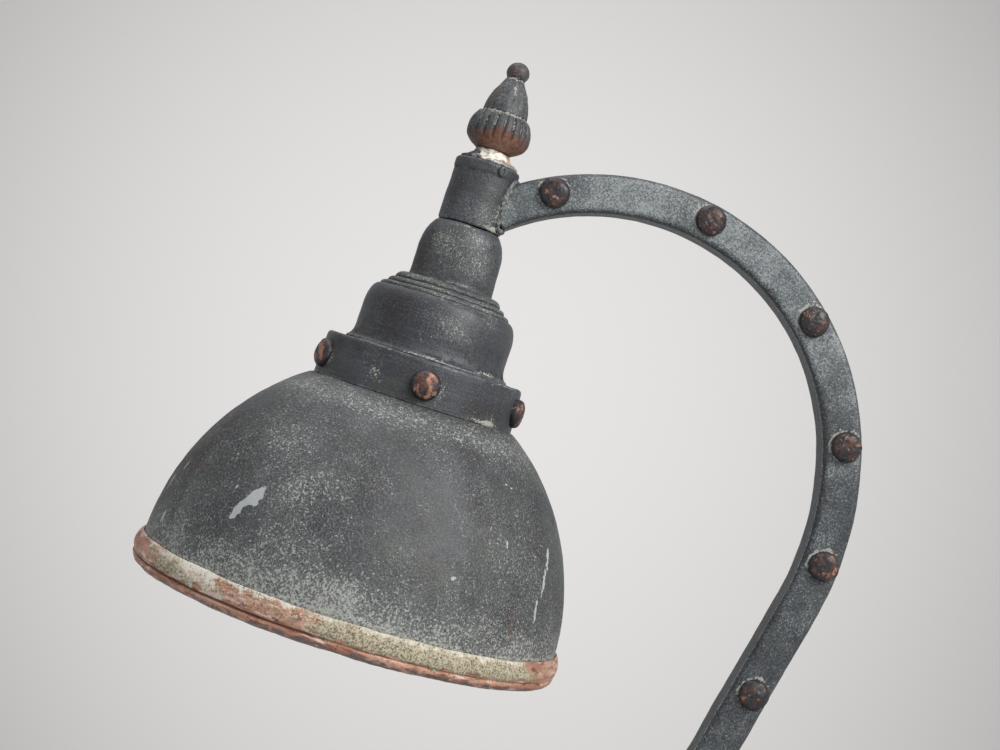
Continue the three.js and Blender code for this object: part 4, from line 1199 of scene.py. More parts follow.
@dataclass
class Arm:
    """Bent square tube with its rivets and foot, and the ferrule, cap and finial at its end."""

    finishes: Finishes
    head: Place
    body: str = "arm"
    side: float = 20.0
    corner: float = 3.6
    stem_bottom: float = 72.0
    stem_top: float = 114.4
    lean: float = 30.5
    foot_bend: float = 130.0
    lower_bend: float = 158.0
    crown_bend: float = 125.2
    crown_sweep: float = 115.0
    reach: float = 107.0
    stations: tuple[float, ...] = (54, 124, 196, 268, 328, 392, 464, 543)
    rivet_outward: float = 1.2
    rivet_r: float = 7.5
    rivet_rubbed: float = 0.75
    end_back: float = 6.0
    step: float = 1.25
    ferrule_r: float = 16.2
    ferrule_bottom: float = 195.6
    ferrule_top: float = 227.8
    screw_turn: float = -63.0
    screw_height: float = 225.0
    gadroons: int = 20

    def stretches(self) -> list[tuple[float, float]]:
        """The middle line from the foot up, as (length, turn in radians) towards +X."""
        lean, sweep = math.radians(self.lean), math.radians(self.crown_sweep)
        drop = (self.foot_bend + self.lower_bend) * (1 - math.cos(lean))
        return [
            (self.stem_top - self.stem_bottom, 0.0),
            (self.foot_bend * lean, lean),
            ((self.reach - drop) / math.sin(lean), 0.0),
            (self.lower_bend * lean, -lean),
            (self.crown_bend * sweep, -sweep),
        ]

    def line(self, distance: Array) -> tuple[Array, Array, Array]:
        """The middle line: straight stretches and arcs, one after another.

        Args:
            distance: How far along the line each point is.

        Returns:
            X, Z and the heading from +Z towards +X, in radians.
        """
        x, heading = np.zeros_like(distance), np.zeros_like(distance)
        z = np.full_like(distance, self.stem_bottom)
        left = distance.copy()
        for length, turn in self.stretches():
            run = np.clip(left, 0, length)
            ahead = heading + turn * run / length
            if turn:
                x += length / turn * (np.cos(heading) - np.cos(ahead))
                z += length / turn * (np.sin(ahead) - np.sin(heading))
            else:
                x, z = x + run * np.sin(heading), z + run * np.cos(heading)
            heading, left = ahead, left - run
        return x, z, heading

    def section(self) -> Array:
        """The square with round corners, as (outwards, sideways) points of a closed loop."""
        half, c = self.side / 2, self.corner
        k = 0.45 * c
        outline = Outline(half, c - half).to((half, half - c)).bend(
            (half, half - k), (half - k, half), (half - c, half), steps=7
        )
        quarter = np.vstack(outline.runs)[1:]
        quarter_turn = np.array([[0, 1], [-1, 0]])
        loop = [quarter @ np.linalg.matrix_power(quarter_turn, k) for k in range(4)]
        return spaced(np.vstack(loop), 1.6, True)

    def build(self) -> None:
        """Makes every piece of the arm and of what stands on its end."""
        f = self.finishes
        rivet = DomedRivet(self.rivet_r, rubbed=self.rivet_rubbed)
        self.tube_piece()
        x, z, _ = self.rivet_line()
        for k in range(len(self.stations)):
            place = Place(np.array([x[k], 0.0, z[k]]), np.array([[1.0, 0, 0], [0, 0, -1.0], [0, 1.0, 0]]))
            surface = rivet.through(self.side, seed=300 + 3 * k)
            name = f"arm_rivet_{k + 1}"
            hand_over(name + "_fine", surface, place, self.body, [f.rivet], [name])
        hand_over(
            "arm_foot_fine", self.foot(), upright(), self.body, [f.turned], ["arm_foot"]
        )
        for name, surface, slot, finish in (
            ("ferrule", self.ferrule(), "weathered_steel", f.turned),
            ("ferrule_cap", self.cap(), "pale_metal", f.zinc),
            ("finial", self.finial(), "weathered_steel", f.turned),
        ):
            hand_over(name + "_fine", surface, self.head, self.body, [finish], [name])
        self.screw()
        hand_over("ferrule_weld", self.weld(), self.head, self.body, [f.dome])

    def rivet_line(self) -> tuple[Array, Array, Array]:
        """Where the rivets' middles are: on the line, a little to the outside of the bend."""
        x, z, heading = self.line(np.array(self.stations, float))
        return x + self.rivet_outward * np.cos(heading), z - self.rivet_outward * np.sin(heading), heading

    def tube_piece(self) -> None:
        """The tube: each section point carried along the line, square to its heading.

        Point (i, j) is the line at distance i plus the section's outward part along the heading's
        normal and its sideways part along Y. The ends are shut inside the foot and the ferrule.
        """
        total = sum(length for length, _ in self.stretches()) - self.end_back
        distance = np.linspace(0, total, round(total / self.step))
        loop = self.section()
        x, z, heading = (part[:, None] for part in self.line(distance))
        out, aside = loop[None, :, 0], loop[None, :, 1]
        across = np.broadcast_to(aside, (len(x), len(loop)))
        grid = np.stack([x + out * np.cos(heading), across, z - out * np.sin(heading)], -1)
        square = np.stack([out * np.cos(heading), aside + 0 * x, -out * np.sin(heading)], -1)
        square /= self.side / 2
        uneven = 0.07 * ripple(grid, 30.0, 6) + 0.03 * ripple(grid, 7.0, 7) - 0.2
        grid = grid + square * uneven[..., None]
        lay = np.stack(np.broadcast_arrays(out, aside, distance[:, None]), -1)
        corner = np.abs(loop[:, 0]) + np.abs(loop[:, 1]) - self.side + 1.2 * self.corner
        empty = np.zeros(grid.shape[:2])
        on_corner = np.clip(corner / self.corner, 0, 1)
        traits = {"edge": empty + 0.3 * on_corner, "hollow": empty.copy()}
        faces = lattice(len(x), len(loop), False)
        surface = Surface(grid, lay, faces, np.zeros((0, 3), int), traits, empty > 1)
        rx, rz, _ = self.rivet_line()
        right, up = grid[..., 0, None] - rx, grid[..., 2, None] - rz
        nearest = np.argmin(np.hypot(right, up), -1)[..., None]
        right, up = (np.take_along_axis(part, nearest, -1)[..., 0] for part in (right, up))
        away = np.hypot(right, up) + 0.35 * ripple(grid, 3.0, 8)
        upper_left = (up - right) / np.maximum(away, 1) / math.sqrt(2)
        on_face = ease(np.abs(grid[..., 1]), 8.2, 9.7)
        crook_face = ease(-out, 8.2, 9.7) + empty
        surface.traits["dust"] = on_face * bell(away - 8.2, 0.75) * (0.75 + 0.45 * upper_left)
        surface.traits["dust"] += on_face * 0.25 * bell(away, 9.0)
        surface.traits["dust"] += crook_face * 0.8 * bell(np.abs(aside) - 6.6, 0.9)
        near_end = distance[:, None] - total
        # Salts heap over the crown, partly as painted light that pales the top of the arm.
        fields = sum(amount * bell(distance[:, None] - s, w) for s, w, amount in self.fields())
        fields = fields + 0.8 * bell(near_end, 9.0)
        uneven = 0.18 * ripple(grid, 26.0, 9) + 0.12 * ripple(grid, 11.0, 10)
        surface.traits["bloom"] = on_face * np.clip(fields + uneven, 0, 1.3)
        # Painted shade: darker on the rounded corners, over the face inside the crook, and towards the foot.
        painted_shade_low_down = 1 - ease(distance[:, None], 230, 420)
        surface.traits["umber_and_painted_shade"] = 1.5 * on_corner + crook_face + 0.8 * painted_shade_low_down + empty
        self.close_ends(surface)
        hand_over(
            "arm_tube_fine", surface, upright(), self.body, [self.finishes.bar], ["arm_tube"]
        )

    def fields(self) -> list[tuple[float, float, float]]:
        """Where salts lie along the tube, as (station, half-length, amount): most over the crown.

        The two long fields over the crown are partly painted light: they pale the top of the arm against its
        lower run.
        """
        return [
            (430, 95, 0.75), (520, 60, 0.45), (375, 14, 0.5), (505, 18, 0.4), (316, 9, 0.5), (250, 10, 0.3)
        ]

    def close_ends(self, surface: Surface) -> None:
        """Shuts both ends with a fan of triangles round a new middle point."""
        rows, columns = surface.grid.shape[:2]
        ends = surface.grid[[0, -1]].mean(1, keepdims=True).repeat(columns, 1)
        surface.grid = np.concatenate([surface.grid, ends])
        surface.lay = np.concatenate([surface.lay, surface.lay[[0, -1]]])
        surface.inner = np.concatenate([surface.inner, surface.inner[[0, -1]]])
        for name, values in surface.traits.items():
            surface.traits[name] = np.concatenate([values, values[[0, -1]]])
        j = np.arange(columns)
        beside = (j + 1) % columns
        low, high = rows * columns + 0 * j, (rows + 1) * columns + 0 * j
        last = (rows - 1) * columns
        surface.triangles = np.vstack(
            [np.stack([beside, j, low], 1), np.stack([last + j, last + beside, high], 1)]
        )

    def foot(self) -> Surface:
        """Turned foot: flange, coved neck, socket, and the spigot that turns in the collar."""
        spigot, bore = 8.0, 3.8
        outline = (
            Outline(bore, 38)
            .to((spigot, 38), (spigot, 58.3), (24, 58.3), (24, 61.3))
            .bend((18.6, 62.3), (18, 67.3), steps=10)
            .to((17.8, 76), (18.4, 76.6), (18.4, 79.4), (17.8, 80), (17.4, 90))
            .bend((17.2, 92), (15.6, 92), steps=6)
            .to((bore, 92))
        )
        surface = turned(outline, 144, 1.0, 0.35, [(0.05, 16.0)], seed=9)
        surface.traits["bloom"] = 0.6 * bell(surface.grid[..., 2] - 63, 4)
        return surface

    def ferrule(self) -> Surface:
        """Round socket with a proud lip at its top, closed by a bored lid."""
        r, low, top = self.ferrule_r, self.ferrule_bottom, self.ferrule_top
        outline = (
            Outline(5.4, low)
            .to((r - 0.5, low), (r, low + 0.9), (r - 0.3, top - 5.8))
            .to((r + 0.15, top - 4.6), (r + 0.2, top - 1.6))
            .bend((r + 0.1, top), (r - 1.4, top), steps=6)
            .to((3.4, top), (3.4, 222.4), (r - 3.6, 222.4), (r - 3.6, 199.6), (5.4, 199.6))
        )
        surface = turned(outline, 144, 0.9, 0.3, [(0.09, 16.0), (0.04, 5.0)], seed=10)
        surface.mark(
            "dust", (-34, 205, 9, 4.5, 0, 0.8), (-28, 214, 6, 3.0, 0, 0.7), (-50, 197, 1.4, 9, 0, 0.8)
        )
        surface.traits["bloom"] = surface.skin([Mark(-70, 202, 9, 16, 0, 0.6)]) + 0.1
        return surface

    def cap(self) -> Surface:
        """Pale coned cap under the finial."""
        outline = (
            Outline(3.4, 228.1)
            .to((14.6, 228.1), (14.5, 229.2))
            .bend((11.5, 230.2), (9.2, 231.6), (8.7, 234.6), steps=12)
            .to((3.4, 234.6))
        )
        surface = turned(outline, 128, 0.5, 0.25, [(0.12, 6.0), (0.06, 2.5)], seed=11)
        surface.mark("lime", (-104, 231, 5, 6, 0, 1.1), (-60, 232, 4, 6, 0, 0.5))
        surface.mark("rust", (-52, 232.5, 4, 7, 0, 1.0))
        # Painted shade on the cap's left side.
        surface.mark("umber_and_painted_shade", (-150, 230, 5, 9, 0, 1.0))
        return surface

    def finial(self) -> Surface:
        """Gadrooned cup, acorn and ball, turned from one piece and cut by hand.

        The cup's radius falls by a depth in each cut, where the sixth power of the sine of half the
        gadroons' count times the turn nears 1. Its lip rises and falls with the same curve, so each
        gadroon ends in a petal.
        """
        depth, n = 1.4, self.gadroons

        def lobes(turn: Array) -> Array:
            """1 along the middle of each gadroon and 0 in the cut between two, round as a circle."""
            return np.sqrt(np.maximum(0, 1 - np.sin(n * turn / 2 + 0.4) ** 6))

        def shaping(turn: Array, radius: Array, height: Array) -> tuple[Array, Array]:
            cup = ease(height, 236.5, 242) * ease(-height, -254.5, -251.0) * (radius > 11.2)
            lip = bell(height - 252.6, 1.9) * (radius > 10.9)
            rise = 1.9 * (lobes(turn) - 0.75) * lip
            streak = 0.16 * np.sin(14 * turn) * ease(height, 255, 260) * ease(-height, -271, -265)
            return radius + depth * (lobes(turn) - 1) * cup + streak, height + rise

        ball_r, ball_h = 5.7, 275.6
        k = 0.5523 * ball_r
        outline = (
            Outline(0, 223)
            .to((3, 223), (3, 234.9), (8.9, 234.9))
            .bend((11, 236.4), (15.2, 237.6), (15.9, 242.2), steps=20)
            .bend((16.5, 246.6), (15.0, 250.6), (12.6, 252.6), steps=20)
            .to((11.5, 252.6), (11.4, 253.2))
            .bend((11.2, 258.8), (9.1, 264.8), (4.9, 271.3), steps=24)
            .bend((4.4, 271.9), (4.6, 272.4), (4.9, 273.1), steps=5)
            .bend((ball_r, 274.2), (ball_r, ball_h), steps=6)
            .bend((ball_r, ball_h + k), (k, ball_h + ball_r), (0, ball_h + ball_r), steps=14)
        )
        surface = turned(outline, 400, 0.45, 0.25, [(0.07, 9.0), (0.03, 3.0)], shaping=shaping, seed=12)
        grid = surface.grid
        turn, z = np.arctan2(grid[..., 1], grid[..., 0]), grid[..., 2]
        cut = 1 - ease(lobes(turn), 0.3, 0.9)
        on_cup = ease(z, 241, 247) * ease(-z, -255.5, -252.5)
        surface.traits["dust"] = 0.72 * cut * on_cup + 0.8 * bell(z - 253.2, 0.9)
        surface.traits["dust"] += 0.75 * bell(z - 271.9, 1.2)
        surface.mark("dust", (-80, 266, 4, 1.6, 0, 0.8))
        low_cup = bell(z - 236.5, 6.0) * (0.55 + 0.35 * np.sin(turn + 2.6))
        surface.traits["rust"] = 1.1 * low_cup + 0.45 * ease(z, 271, 274)
        surface.mark("rust", (-75, 243, 6, 10, 0, 0.5), (-150, 262, 6, 4, 0, 0.4))
        surface.traits["hollow"] = np.maximum(surface.traits["hollow"], 0.6 * cut * on_cup)
        surface.traits["bloom"] = 0.4 + 0.4 * bell(z - 268, 5)
        return surface

    def screw(self) -> None:
        """Small cheese-head screw in the ferrule's lip."""
        r = self.ferrule_r
        outline = Outline(0, 4).to(
            (1.4, 4), (1.4, r + 0.2), (2.5, r + 0.2), (2.45, r + 1.3), (1.9, r + 1.75), (0, r + 1.8)
        )

        def slotted(turn: Array, radius: Array, height: Array) -> tuple[Array, Array]:
            """A slot across the head: the face drops within half its width of the slot's line."""
            in_slot = (np.abs(radius * np.sin(turn)) < 0.35) & (height > r + 1.5)
            return radius, height - 0.6 * in_slot

        surface = turned(outline, 64, 0.3, 0.2, shaping=slotted)
        place = self.head.outward(self.screw_turn, self.screw_height)
        steel = [self.finishes.turned]
        hand_over("ferrule_screw_fine", surface, place, self.body, steel, ["ferrule_screw"])

    def weld(self) -> Surface:
        """Weld run round the joint of tube and ferrule, in the head's frame.

        The tube's section is carried along the tube's end heading until it meets the ferrule's wall,
        which is a quadratic in the distance, and a lumpy rod follows the loop of meeting points.
        """
        total = sum(length for length, _ in self.stretches())
        x, z, heading = (float(part[0]) for part in self.line(np.array([total - 14.0])))
        loop = self.section()
        centre = np.array([x, 0, z]) + loop[:, :1] * np.array([math.cos(heading), 0, -math.sin(heading)])
        centre = centre + loop[:, 1:] * np.array([0, 1.0, 0])
        start = (centre - self.head.origin) @ self.head.axes.T
        way = np.array([math.sin(heading), 0, math.cos(heading)]) @ self.head.axes.T
        start = start - 30 * way
        a = way[0] ** 2 + way[1] ** 2
        b = start[:, :2] @ way[:2]
        c = (start[:, :2] ** 2).sum(1) - (self.ferrule_r + 0.25) ** 2
        path = start + ((-b - np.sqrt(b**2 - a * c)) / a)[:, None] * way
        path = spaced(path, 0.6, True)
        out = path * [1, 1, 0] / np.linalg.norm(path[:, :2], axis=1, keepdims=True)
        along = np.roll(path, -1, 0) - np.roll(path, 1, 0)
        along /= np.linalg.norm(along, axis=1, keepdims=True)
        across = out - (out * along).sum(1, keepdims=True) * along
        across /= np.linalg.norm(across, axis=1, keepdims=True)
        radius = 1.4 + 0.14 * ripple(path, 6.0, 13)
        surface = tube(path, across, np.clip(radius, 0.8, 2.1), 14)
        ripples = 0.22 * ripple(surface.grid, 2.6, 14)
        surface.grid = surface.grid + ripples[..., None] * (surface.grid - path[:, None]) / 1.2
        # Pale dust and salts on the weld's front side only: painted highlights on the side toward the light,
        # with some dust along the top of the run.
        front = ease(-surface.grid[..., 1], 2, 8)
        surface.traits["dust"] = 0.3 * front + 0.4 * bell(path[:, 2] - path[:, 2].mean() - 4, 5.0)[:, None]
        surface.traits["bloom"] = 0.6 * front
        return surface


# ---- Shade ---------------------------------------------------------------------------------------


@dataclass
class Shade:
    """Spun dome with its rim, riveted collar, stepped cup and neck cup."""

    finishes: Finishes
    head: Place
    body: str = "shade"
    sheet: float = 1.5
    dome_r: float = 104.9
    rim_r: float = 108.2
    rim_bottom: float = -7.5
    rim_top: float = 7.8
    skirt_bottom: float = -5.4
    collar_bottom: float = 104.5
    collar_top: float = 126.0
    collar_r: float = 50.4
    collar_wall: float = 2.6
    rivet_height: float = 114.4
    cup_r: float = 38.3
    cup_top: float = 164.6
    neck_r: float = 21.3
    bore: float = 5.4

    def build(self) -> None:
        """Makes every piece of the shade."""
        f = self.finishes
        dome = self.dome()
        regions = (dome.inner & (dome.grid[..., 2] < 102)).astype(int)
        finishes = [f.dome, f.reflector]
        hand_over(
            "shade_dome_fine", dome, self.head, self.body, finishes, ["shade_dome"],
            regions
        )
        for name, surface, slot, finish in (
            ("shade_bead", self.bead(), "worn_copper", f.copper),
            ("shade_collar", self.collar(), "weathered_steel", f.turned),
            ("stepped_cup", self.stepped_cup(), "weathered_steel", f.turned),
            ("neck_cup", self.neck_cup(), "weathered_steel", f.turned),
        ):
            hand_over(name + "_fine", surface, self.head, self.body, [finish], [name])
        rivet = DomedRivet()
        seat = self.collar_r + 0.3
        grip = seat - (self.collar_r - self.collar_wall - 0.3 - self.sheet) + 1.2
        for k, turn in enumerate(rivet_turns()):
            name = f"collar_rivet_{k + 1}"
            place = self.head.outward(turn, self.rivet_height, seat)
            surface = rivet.tailed(grip, 1.0, seed=100 + k)
            hand_over(name + "_fine", surface, place, self.body, [f.rivet], [name])

    def dome(self) -> Surface:
        """Spun dome: a short skirt in the rim, one long curve, and an upstand in the collar."""
        r, upstand = self.dome_r, self.collar_r - self.collar_wall - 0.3
        outline = (
            Outline(r, self.skirt_bottom)
            .to((r, 6))
            .bend((r - 1.4, 46), (86, 80.7), (53, 103.5), steps=80)
            .bend((51.4, 104.5), (upstand, 105), steps=6)
            .to((upstand, self.collar_top - 3), (upstand - self.sheet, self.collar_top - 3))
            .to((upstand - self.sheet, 103.5), (51.8, 102))
            .bend((84.8, 79.4), (r - 2.9, 45.4), (r - self.sheet, 6), steps=80)
            .to((r - self.sheet, self.skirt_bottom))
        )
        surface = turned(outline, 432, 1.7, 0.3, [(0.09, 55.0), (0.05, 16.0), (0.03, 5.0)], seed=15)
        z = surface.grid[..., 2]
        rim, neck = bell(z - 11, 13), bell(z - 98, 6)
        fields = [
            Mark(-112, 52, 22, 20, 0, 0.7),
            Mark(-95, 18, 14, 34, 0, 0.55),
            Mark(-128, 74, 12, 14, 0, 0.5),
            Mark(-45, 40, 30, 30, 0, 0.3),
            Mark(-150, 38, 26, 26, 0, 0.22),
            Mark(60, 55, 26, 30, 0, 0.8),
            Mark(150, 60, 24, 28, 0, 0.6),
        ]
        surface.traits["bloom"] = 0.8 * rim + 0.6 * neck + surface.skin(fields)
        surface.traits["dust"] = 0.75 * bell(z - 8.5, 1.6) + 0.3 * bell(z - 102, 3)
        surface.mark(
            "chip", (-122.5, 44.5, 6.5, 3.6, 14), (-125.5, 36.5, 5.0, 2.4, 10),
            (-130, 46, 3.0, 1.3, 20, 0.8), (-164, 34, 8, 1.3, 8, 0.9), (-154, 20, 4, 1.8, 0, 0.9),
            (-159, 44, 6, 1.0, 10, 0.8), (-28, 53, 9, 1.4, 16), (-32, 43, 9, 1.2, 14), (-35, 31, 8, 1.2, 6),
            (-49, 58, 5, 0.7, -12, 0.85), (-86, 10, 1.3, 1.5), (-66, 37, 1.5, 1.5, 0, 1.1),
            (-47, 82, 0.8, 6, 20, 0.72), (-67, 95, 0.8, 7, 12, 0.72), (70, 38, 8, 1.6, -30),
            (120, 62, 6, 2.0, 15), (30, 30, 5, 2.0, 40, 0.9)
        )
        # The broad dark mark on the left limb is painted shade; the small one low on the front right darkens
        # round a rust mark.
        surface.mark("umber_and_painted_shade", (-165, 50, 40, 34, 0, 0.9), (-48, 22, 14, 12, 0, 0.6))
        surface.mark("rust", (-150, 50, 8, 8, 0, 0.42), (-45, 22, 10, 5, 0, 0.4))
        return surface

    def bead(self) -> Surface:
        """Copper rim, uneven from use and crusted in stretches."""
        outline = rolled_bead(
            self.dome_r, self.rim_r, self.rim_bottom, self.rim_top, 9.6, self.skirt_bottom - 0.3
        )
        waver = [(0.14, 22.0), (0.05, 7.0), (0.04, 2.6)]
        return crusted(turned(outline, 520, 0.75, 0.4, waver, seed=16), RIM_STRETCHES, 0.42)

    def collar(self) -> Surface:
        """Riveted band with a lip turned in to carry the cup."""
        r, top, inner = self.collar_r, self.collar_top, self.collar_r - self.collar_wall
        lip = self.cup_r - 4
        outline = (
            Outline(inner, self.collar_bottom)
            .to((r + 0.5, self.collar_bottom), (r - 0.3, top - 2.0))
            .bend((r - 0.4, top), (r - 2.4, top), steps=8)
            .to((lip, top), (lip, top - 2), (inner, top - 2))
        )
        surface = turned(outline, 240, 1.1, 0.35, [(0.12, 26.0), (0.04, 8.0)], seed=17)
        dust = [Mark(turn + 8, self.rivet_height - 1, 7, 5, 0, 0.6) for turn in rivet_turns()]
        dust += [Mark(-50, 106, 1.0, 14, 0, 0.8), Mark(-35, 125.5, 1.0, 12, 0, 0.7)]
        surface.traits["dust"] = surface.skin(dust)
        return surface

    def stepped_cup(self) -> Surface:
        """Wide cup: a flared foot, a straight wall, and three rings that step in to the neck."""
        r, low, top = self.cup_r, self.collar_top + 0.15, self.cup_top
        outline = (
            Outline(r - 1.9, low)
            .to((r + 3.2, low), (r + 2.9, low + 0.9))
            .bend((r + 0.4, low + 2.0), (r, 134), steps=10)
            .to((r, 145))
            .bend((r - 0.2, 153.4), (34.2, 155.9), steps=14)
            .to((33.4, 156.0))
            .bend((33.2, 158.1), (30.9, 158.3), steps=8)
            .to((30.3, 158.2))
            .bend((30.1, 160.7), (27.9, 160.9), steps=8)
            .to((27.3, 160.8))
            .bend((27.0, 164.2), (23, top), steps=8)
            .to((self.bore, top), (self.bore, top - 3.4), (22, top - 3.4))
            .bend((r - 1.9, 155), (r - 1.9, 146), steps=16)
        )
        surface = turned(outline, 240, 0.9, 0.3, [(0.1, 24.0), (0.04, 7.0)], seed=18)
        z = surface.grid[..., 2]
        steps = ease(z, 154, 156.5)
        surface.traits["bloom"] = 0.75 * steps + surface.skin(
            [Mark(-78, 143, 8, 13, 0, 1.0), Mark(-50, 152, 5, 10, 0, 0.5)]
        )
        surface.traits["edge"] = np.maximum(surface.traits["edge"], 0.35 * steps)
        surface.mark("dust", (-88, 127.5, 1.3, 20, 0, 0.8), (-40, 128, 1.4, 12, 0, 0.8))
        # Painted shade on the cup's left side.
        surface.mark("umber_and_painted_shade", (-135, 147, 12, 14, 0, 0.8))
        return surface

    def neck_cup(self) -> Surface:
        """Upper cup with a domed shoulder that closes in under the swivel's seam."""
        r, low, bore = self.neck_r, self.cup_top + 0.15, self.bore
        outline = (
            Outline(r - 2, low)
            .to((r + 0.3, low), (r, low + 1.8), (r - 0.2, 180))
            .bend((r - 0.4, 189), (16.9, 194.2), (15.7, SEAM_HEIGHT), steps=20)
            .to((bore, SEAM_HEIGHT), (bore, SEAM_HEIGHT - 2.6), (13, SEAM_HEIGHT - 2.6))
            .bend((r - 2.4, 188), (r - 2.2, 180), steps=10)
        )
        surface = turned(outline, 192, 0.9, 0.3, [(0.1, 18.0), (0.04, 6.0)], seed=19)
        marks = [Mark(-115, 184, 7, 9, 0, 0.9), Mark(-60, 176, 8, 9, 0, 1.0), Mark(-70, 190, 4, 8, 0, 0.7)]
        surface.traits["bloom"] = surface.skin(marks) + 0.2
        # Painted shade on the neck cup's left side.
        surface.mark("umber_and_painted_shade", (-150, 178, 14, 9, 0, 0.8))
        surface.mark("dust", (-92, 194, 1.0, 8, 0, 0.7), (-75, 166, 1.2, 14, 0, 0.6))
        return surface


@dataclass
class LampHolder:
    """Brass lampholder on the swivel nipple, with its screw-cap lamp."""

    finishes: Finishes
    head: Place
    body: str = "shade"
    holder_r: float = 20.0
    cap_r: float = 13.5
    thread_pitch: float = 3.6
    glass_r: float = 30.0

    def build(self) -> None:
        """Makes the shell, skirt, cap and glass."""
        f = self.finishes
        for name, surface, slot, finish in (
            ("holder_cap", self.cap(), "brass", f.brass),
            ("holder_skirt", self.skirt(), "brass", f.brass),
            ("bulb_cap", self.screw_cap(), "nickel", f.nickel),
            ("bulb_glass", self.glass(), "bulb_glass", f.pearl),
        ):
            hand_over(name + "_fine", surface, self.head, self.body, [finish], [name])

    def cap(self) -> Surface:
        """Domed brass cap."""
        r = self.holder_r
        outline = (
            Outline(r - 2.4, 134)
            .to((r, 134), (r, 144))
            .bend((r - 0.2, 152), (14, 155.6), (9, 156.4), steps=16)
            .to((5.3, 156.4), (5.3, 153.6), (9, 153.6))
            .bend((r - 2.6, 151), (r - 2.4, 144), steps=10)
        )
        return turned(outline, 96, 1.2, 0.3)

    def skirt(self) -> Surface:
        """Brass shade ring with two rolled beads."""
        r = self.holder_r

        def beads(turn: Array, radius: Array, height: Array) -> tuple[Array, Array]:
            """Two beads: bells of the height on the outer wall, with a fine knurl between them."""
            outer = radius > r - 0.5
            swell = 0.6 * (bell(height - 107, 1.3) + bell(height - 130, 1.3))
            knurl = 0.12 * np.cos(60 * turn) * bell(height - 119, 5)
            return radius + (swell + knurl - 0.3) * outer, height

        outline = Outline(r - 2.2, 103.5).to((r + 0.3, 103.5), (r + 0.3, 133.7), (r - 2.2, 133.7))
        return turned(outline, 240, 0.7, 0.3, shaping=beads)

    def screw_cap(self) -> Surface:
        """Lamp cap with a rolled thread: a sine of the height less the turn."""
        r, pitch = self.cap_r, self.thread_pitch

        def thread(turn: Array, radius: Array, height: Array) -> tuple[Array, Array]:
            on_wall = ease(height, 104, 106) * ease(-height, -122, -120) * (radius > 12.2)
            return radius + 0.45 * (np.sin(2 * math.pi * height / pitch - turn) - 0.9) * on_wall, height

        outline = Outline(0, 128.9).to(
            (4.5, 128.9), (6, 126.6), (12, 124.6), (r, 122.8), (r, 103), (12.7, 102.4), (12.7, 121),
            (5, 123), (0, 123.4)
        )
        return turned(outline, 96, 0.5, 0.25, shaping=thread)

    def glass(self) -> Surface:
        """Pear-shaped glass, thin-walled and open at its neck."""
        r = self.glass_r
        outline = (
            Outline(0, 24)
            .bend((17, 24), (r, 37), (r, 54), steps=28)
            .bend((r, 74), (15, 78), (12.2, 101), steps=28)
            .to((12.2, 112), (11.2, 112), (11.2, 101))
            .bend((14, 77.6), (r - 1, 73.4), (r - 1, 54), steps=28)
            .bend((r - 1, 37.6), (16.6, 25), (0, 25), steps=28)
        )
        return turned(outline, 120, 1.6, 0.2)


# ---- Pieces kept from the frame ------------------------------------------------------------------


def dress_frame(f: Finishes) -> None:
    """Gives the CAD nodes that are still shown their own finishes."""
    screws = [f"plate_screw_{k}" for k in (1, 2, 3)]
    kept = {
        f.steel: ["bottom_plate", "gland_nut", "pivot_nut", "cup_nut", *screws],
        f.brass: ["swivel_nipple", "nipple_washer", "nipple_nut", "holder_sleeve", "centre_contact"],
        f.iron: ["ballast"],
        f.porcelain: ["holder_insert"],
        f.pearl: ["bulb_stem"],
        f.bakelite: ["switch_body"],
        f.cotton: ["arm_wire", "base_wire", "holder_wire"],
    }
    for finish, names in kept.items():
        for name in names:
            slots = frame["nodes"][name].material_slots
            slots[0].material = finish
            log.info("%s: %s", name, finish.name)


# ---- Studio --------------------------------------------------------------------------------------


@dataclass(frozen=True)
class Softbox:
    """A square area light: where it stands, what it faces, its size and its power."""

    name: str
    place: tuple[float, float, float]
    faces: tuple[float, float, float]
    size: float
    watts: float
    colour: str = "#ffffff"

    def put(self) -> None:
        """Adds the light, out of the camera's sight."""
        data = bpy.data.lights.new(self.name, "AREA")
        data.energy, data.size, data.color = self.watts, self.size, linear(self.colour)[:3]
        lamp = bpy.data.objects.new(self.name, data)
        lamp.location = self.place
        lamp.rotation_euler = (Vector(self.faces) - Vector(self.place)).to_track_quat("-Z", "Y").to_euler()
        lamp.visible_camera = False
        bpy.context.scene.collection.objects.link(lamp)


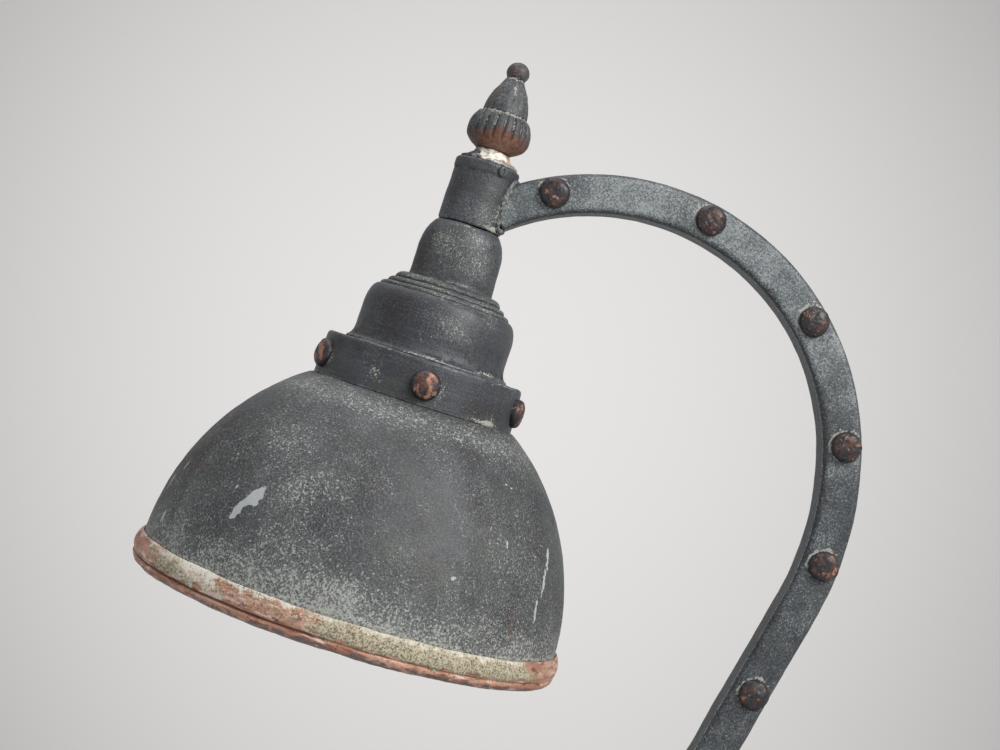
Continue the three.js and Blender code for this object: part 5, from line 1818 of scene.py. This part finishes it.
@dataclass(frozen=True)
class Studio:
    """A pale round cove, soft light, and a camera almost square to the crook.

    The camera stands level with the shade. The cove's paper glows most round the line that runs
    from `throw_from` along `throw_along`, in metres.
    """

    floor_r: float = 900.0
    wall_r: float = 2700.0
    wall_top: float = 3200.0
    target: tuple[float, float, float] = (-0.0630, 0.0, 0.4103)
    azimuth: float = -2.75
    elevation: float = -0.28
    distance: float = 0.790
    lens: float = 57.3
    throw_from: tuple[float, float, float] = (-0.101, -0.789, 0.406)
    throw_along: tuple[float, float, float] = (0.035, 0.9984, 0.03)
    glow_edge: float = 0.26
    glow_middle: float = 0.62

    def paper(self) -> bpy.types.Material:
        """Paper with a painted glow: emission brightest round the line from the camera's place, darker
        towards the edges.
        """
        skin = Skin("seamless_paper", "#8a8a89", 0.9, 0.0)
        away = skin.add(
            "ShaderNodeVectorMath", {0: skin.lies[Lie.SPACE], 1: self.throw_from}, operation="SUBTRACT"
        )
        unit = skin.add("ShaderNodeVectorMath", {0: away.outputs[0]}, operation="NORMALIZE")
        along = skin.add(
            "ShaderNodeVectorMath", {0: unit.outputs[0], 1: self.throw_along}, operation="DOT_PRODUCT"
        )
        # Painted light: the emission stands in for a pool of light in the middle of the view, fading to
        # darker edges.
        glow = skin.add(
            "ShaderNodeMapRange",
            {
                "Value": along.outputs["Value"],
                "From Min": 0.92,
                "To Min": self.glow_edge,
                "To Max": self.glow_middle,
            },
        )
        return skin.dressed(Emission_Color=linear("#fffdfc"), Emission_Strength=glow.outputs["Result"])

    def cove(self) -> None:
        """Floor that sweeps up into a wall all round, as one surface of revolution."""
        outline = (
            Outline(0, 0).to((self.floor_r, 0)).bend((self.wall_r, 0), (self.wall_r, 1800), steps=40)
            .to((self.wall_r, self.wall_top), (self.wall_r + 40, self.wall_top))
            .to((self.wall_r + 40, -40), (0, -40))
        )
        surface = turned(outline, 96, 160, 0)
        mesh = bpy.data.meshes.new("cove")
        points = surface.grid.reshape(-1, 3) * MM
        mesh.from_pydata(points.tolist(), [], surface.quads.tolist() + surface.triangles.tolist())
        mesh.materials.append(self.paper())
        mesh.shade_smooth()
        cove = bpy.data.objects.new("cove", mesh)
        bpy.context.scene.collection.objects.link(cove)

    def light(self) -> None:
        """Key from the front right, a weak fill on the left, and a top light."""
        for box in (
            Softbox("key", (1.15, -1.15, 1.25), (-0.1, 0, 0.4), 0.9, 36, "#fffdf8"),
            Softbox("fill", (-1.5, -1.0, 0.5), (-0.1, 0, 0.4), 1.2, 4, "#f3f6ff"),
            Softbox("top", (-0.1, 0.2, 1.9), (-0.1, 0, 0.3), 1.2, 12),
        ):
            box.put()
        world = bpy.data.worlds.new("studio_air")
        world.use_nodes = True
        background = world.node_tree.nodes["Background"]
        background.inputs["Color"].default_value = linear("#e9eaec")
        background.inputs["Strength"].default_value = 0.25
        bpy.context.scene.world = world
        bpy.context.scene.view_settings.view_transform = "Standard"

    def camera(self) -> None:
        """Stands the camera back from its target along the viewing direction."""
        a, e = math.radians(self.azimuth), math.radians(self.elevation)
        back = Vector((math.sin(a) * math.cos(e), -math.cos(a) * math.cos(e), math.sin(e)))
        data = bpy.data.cameras.new("camera")
        data.lens, data.sensor_width = self.lens, 36.0
        data.clip_start, data.clip_end = 0.01, 20.0
        camera = bpy.data.objects.new("camera", data)
        camera.location = Vector(self.target) + back * self.distance
        camera.rotation_euler = (-back).to_track_quat("-Z", "Y").to_euler()
        bpy.context.scene.collection.objects.link(camera)
        bpy.context.scene.camera = camera


def main() -> None:
    """Builds the studio and the lamp, piece by piece."""
    logging.basicConfig(level=logging.INFO, format="%(name)s %(message)s")
    studio = Studio()
    studio.camera()
    studio.light()
    studio.cove()
    finishes, head = Finishes(), leaning_head()
    for part in (
        Base(finishes),
        Arm(finishes, head),
        Shade(finishes, head),
        LampHolder(finishes, head),
    ):
        log.info("building %s", type(part).__name__)
        part.build()
    dress_frame(finishes)


if __name__ == "__main__":
    main()
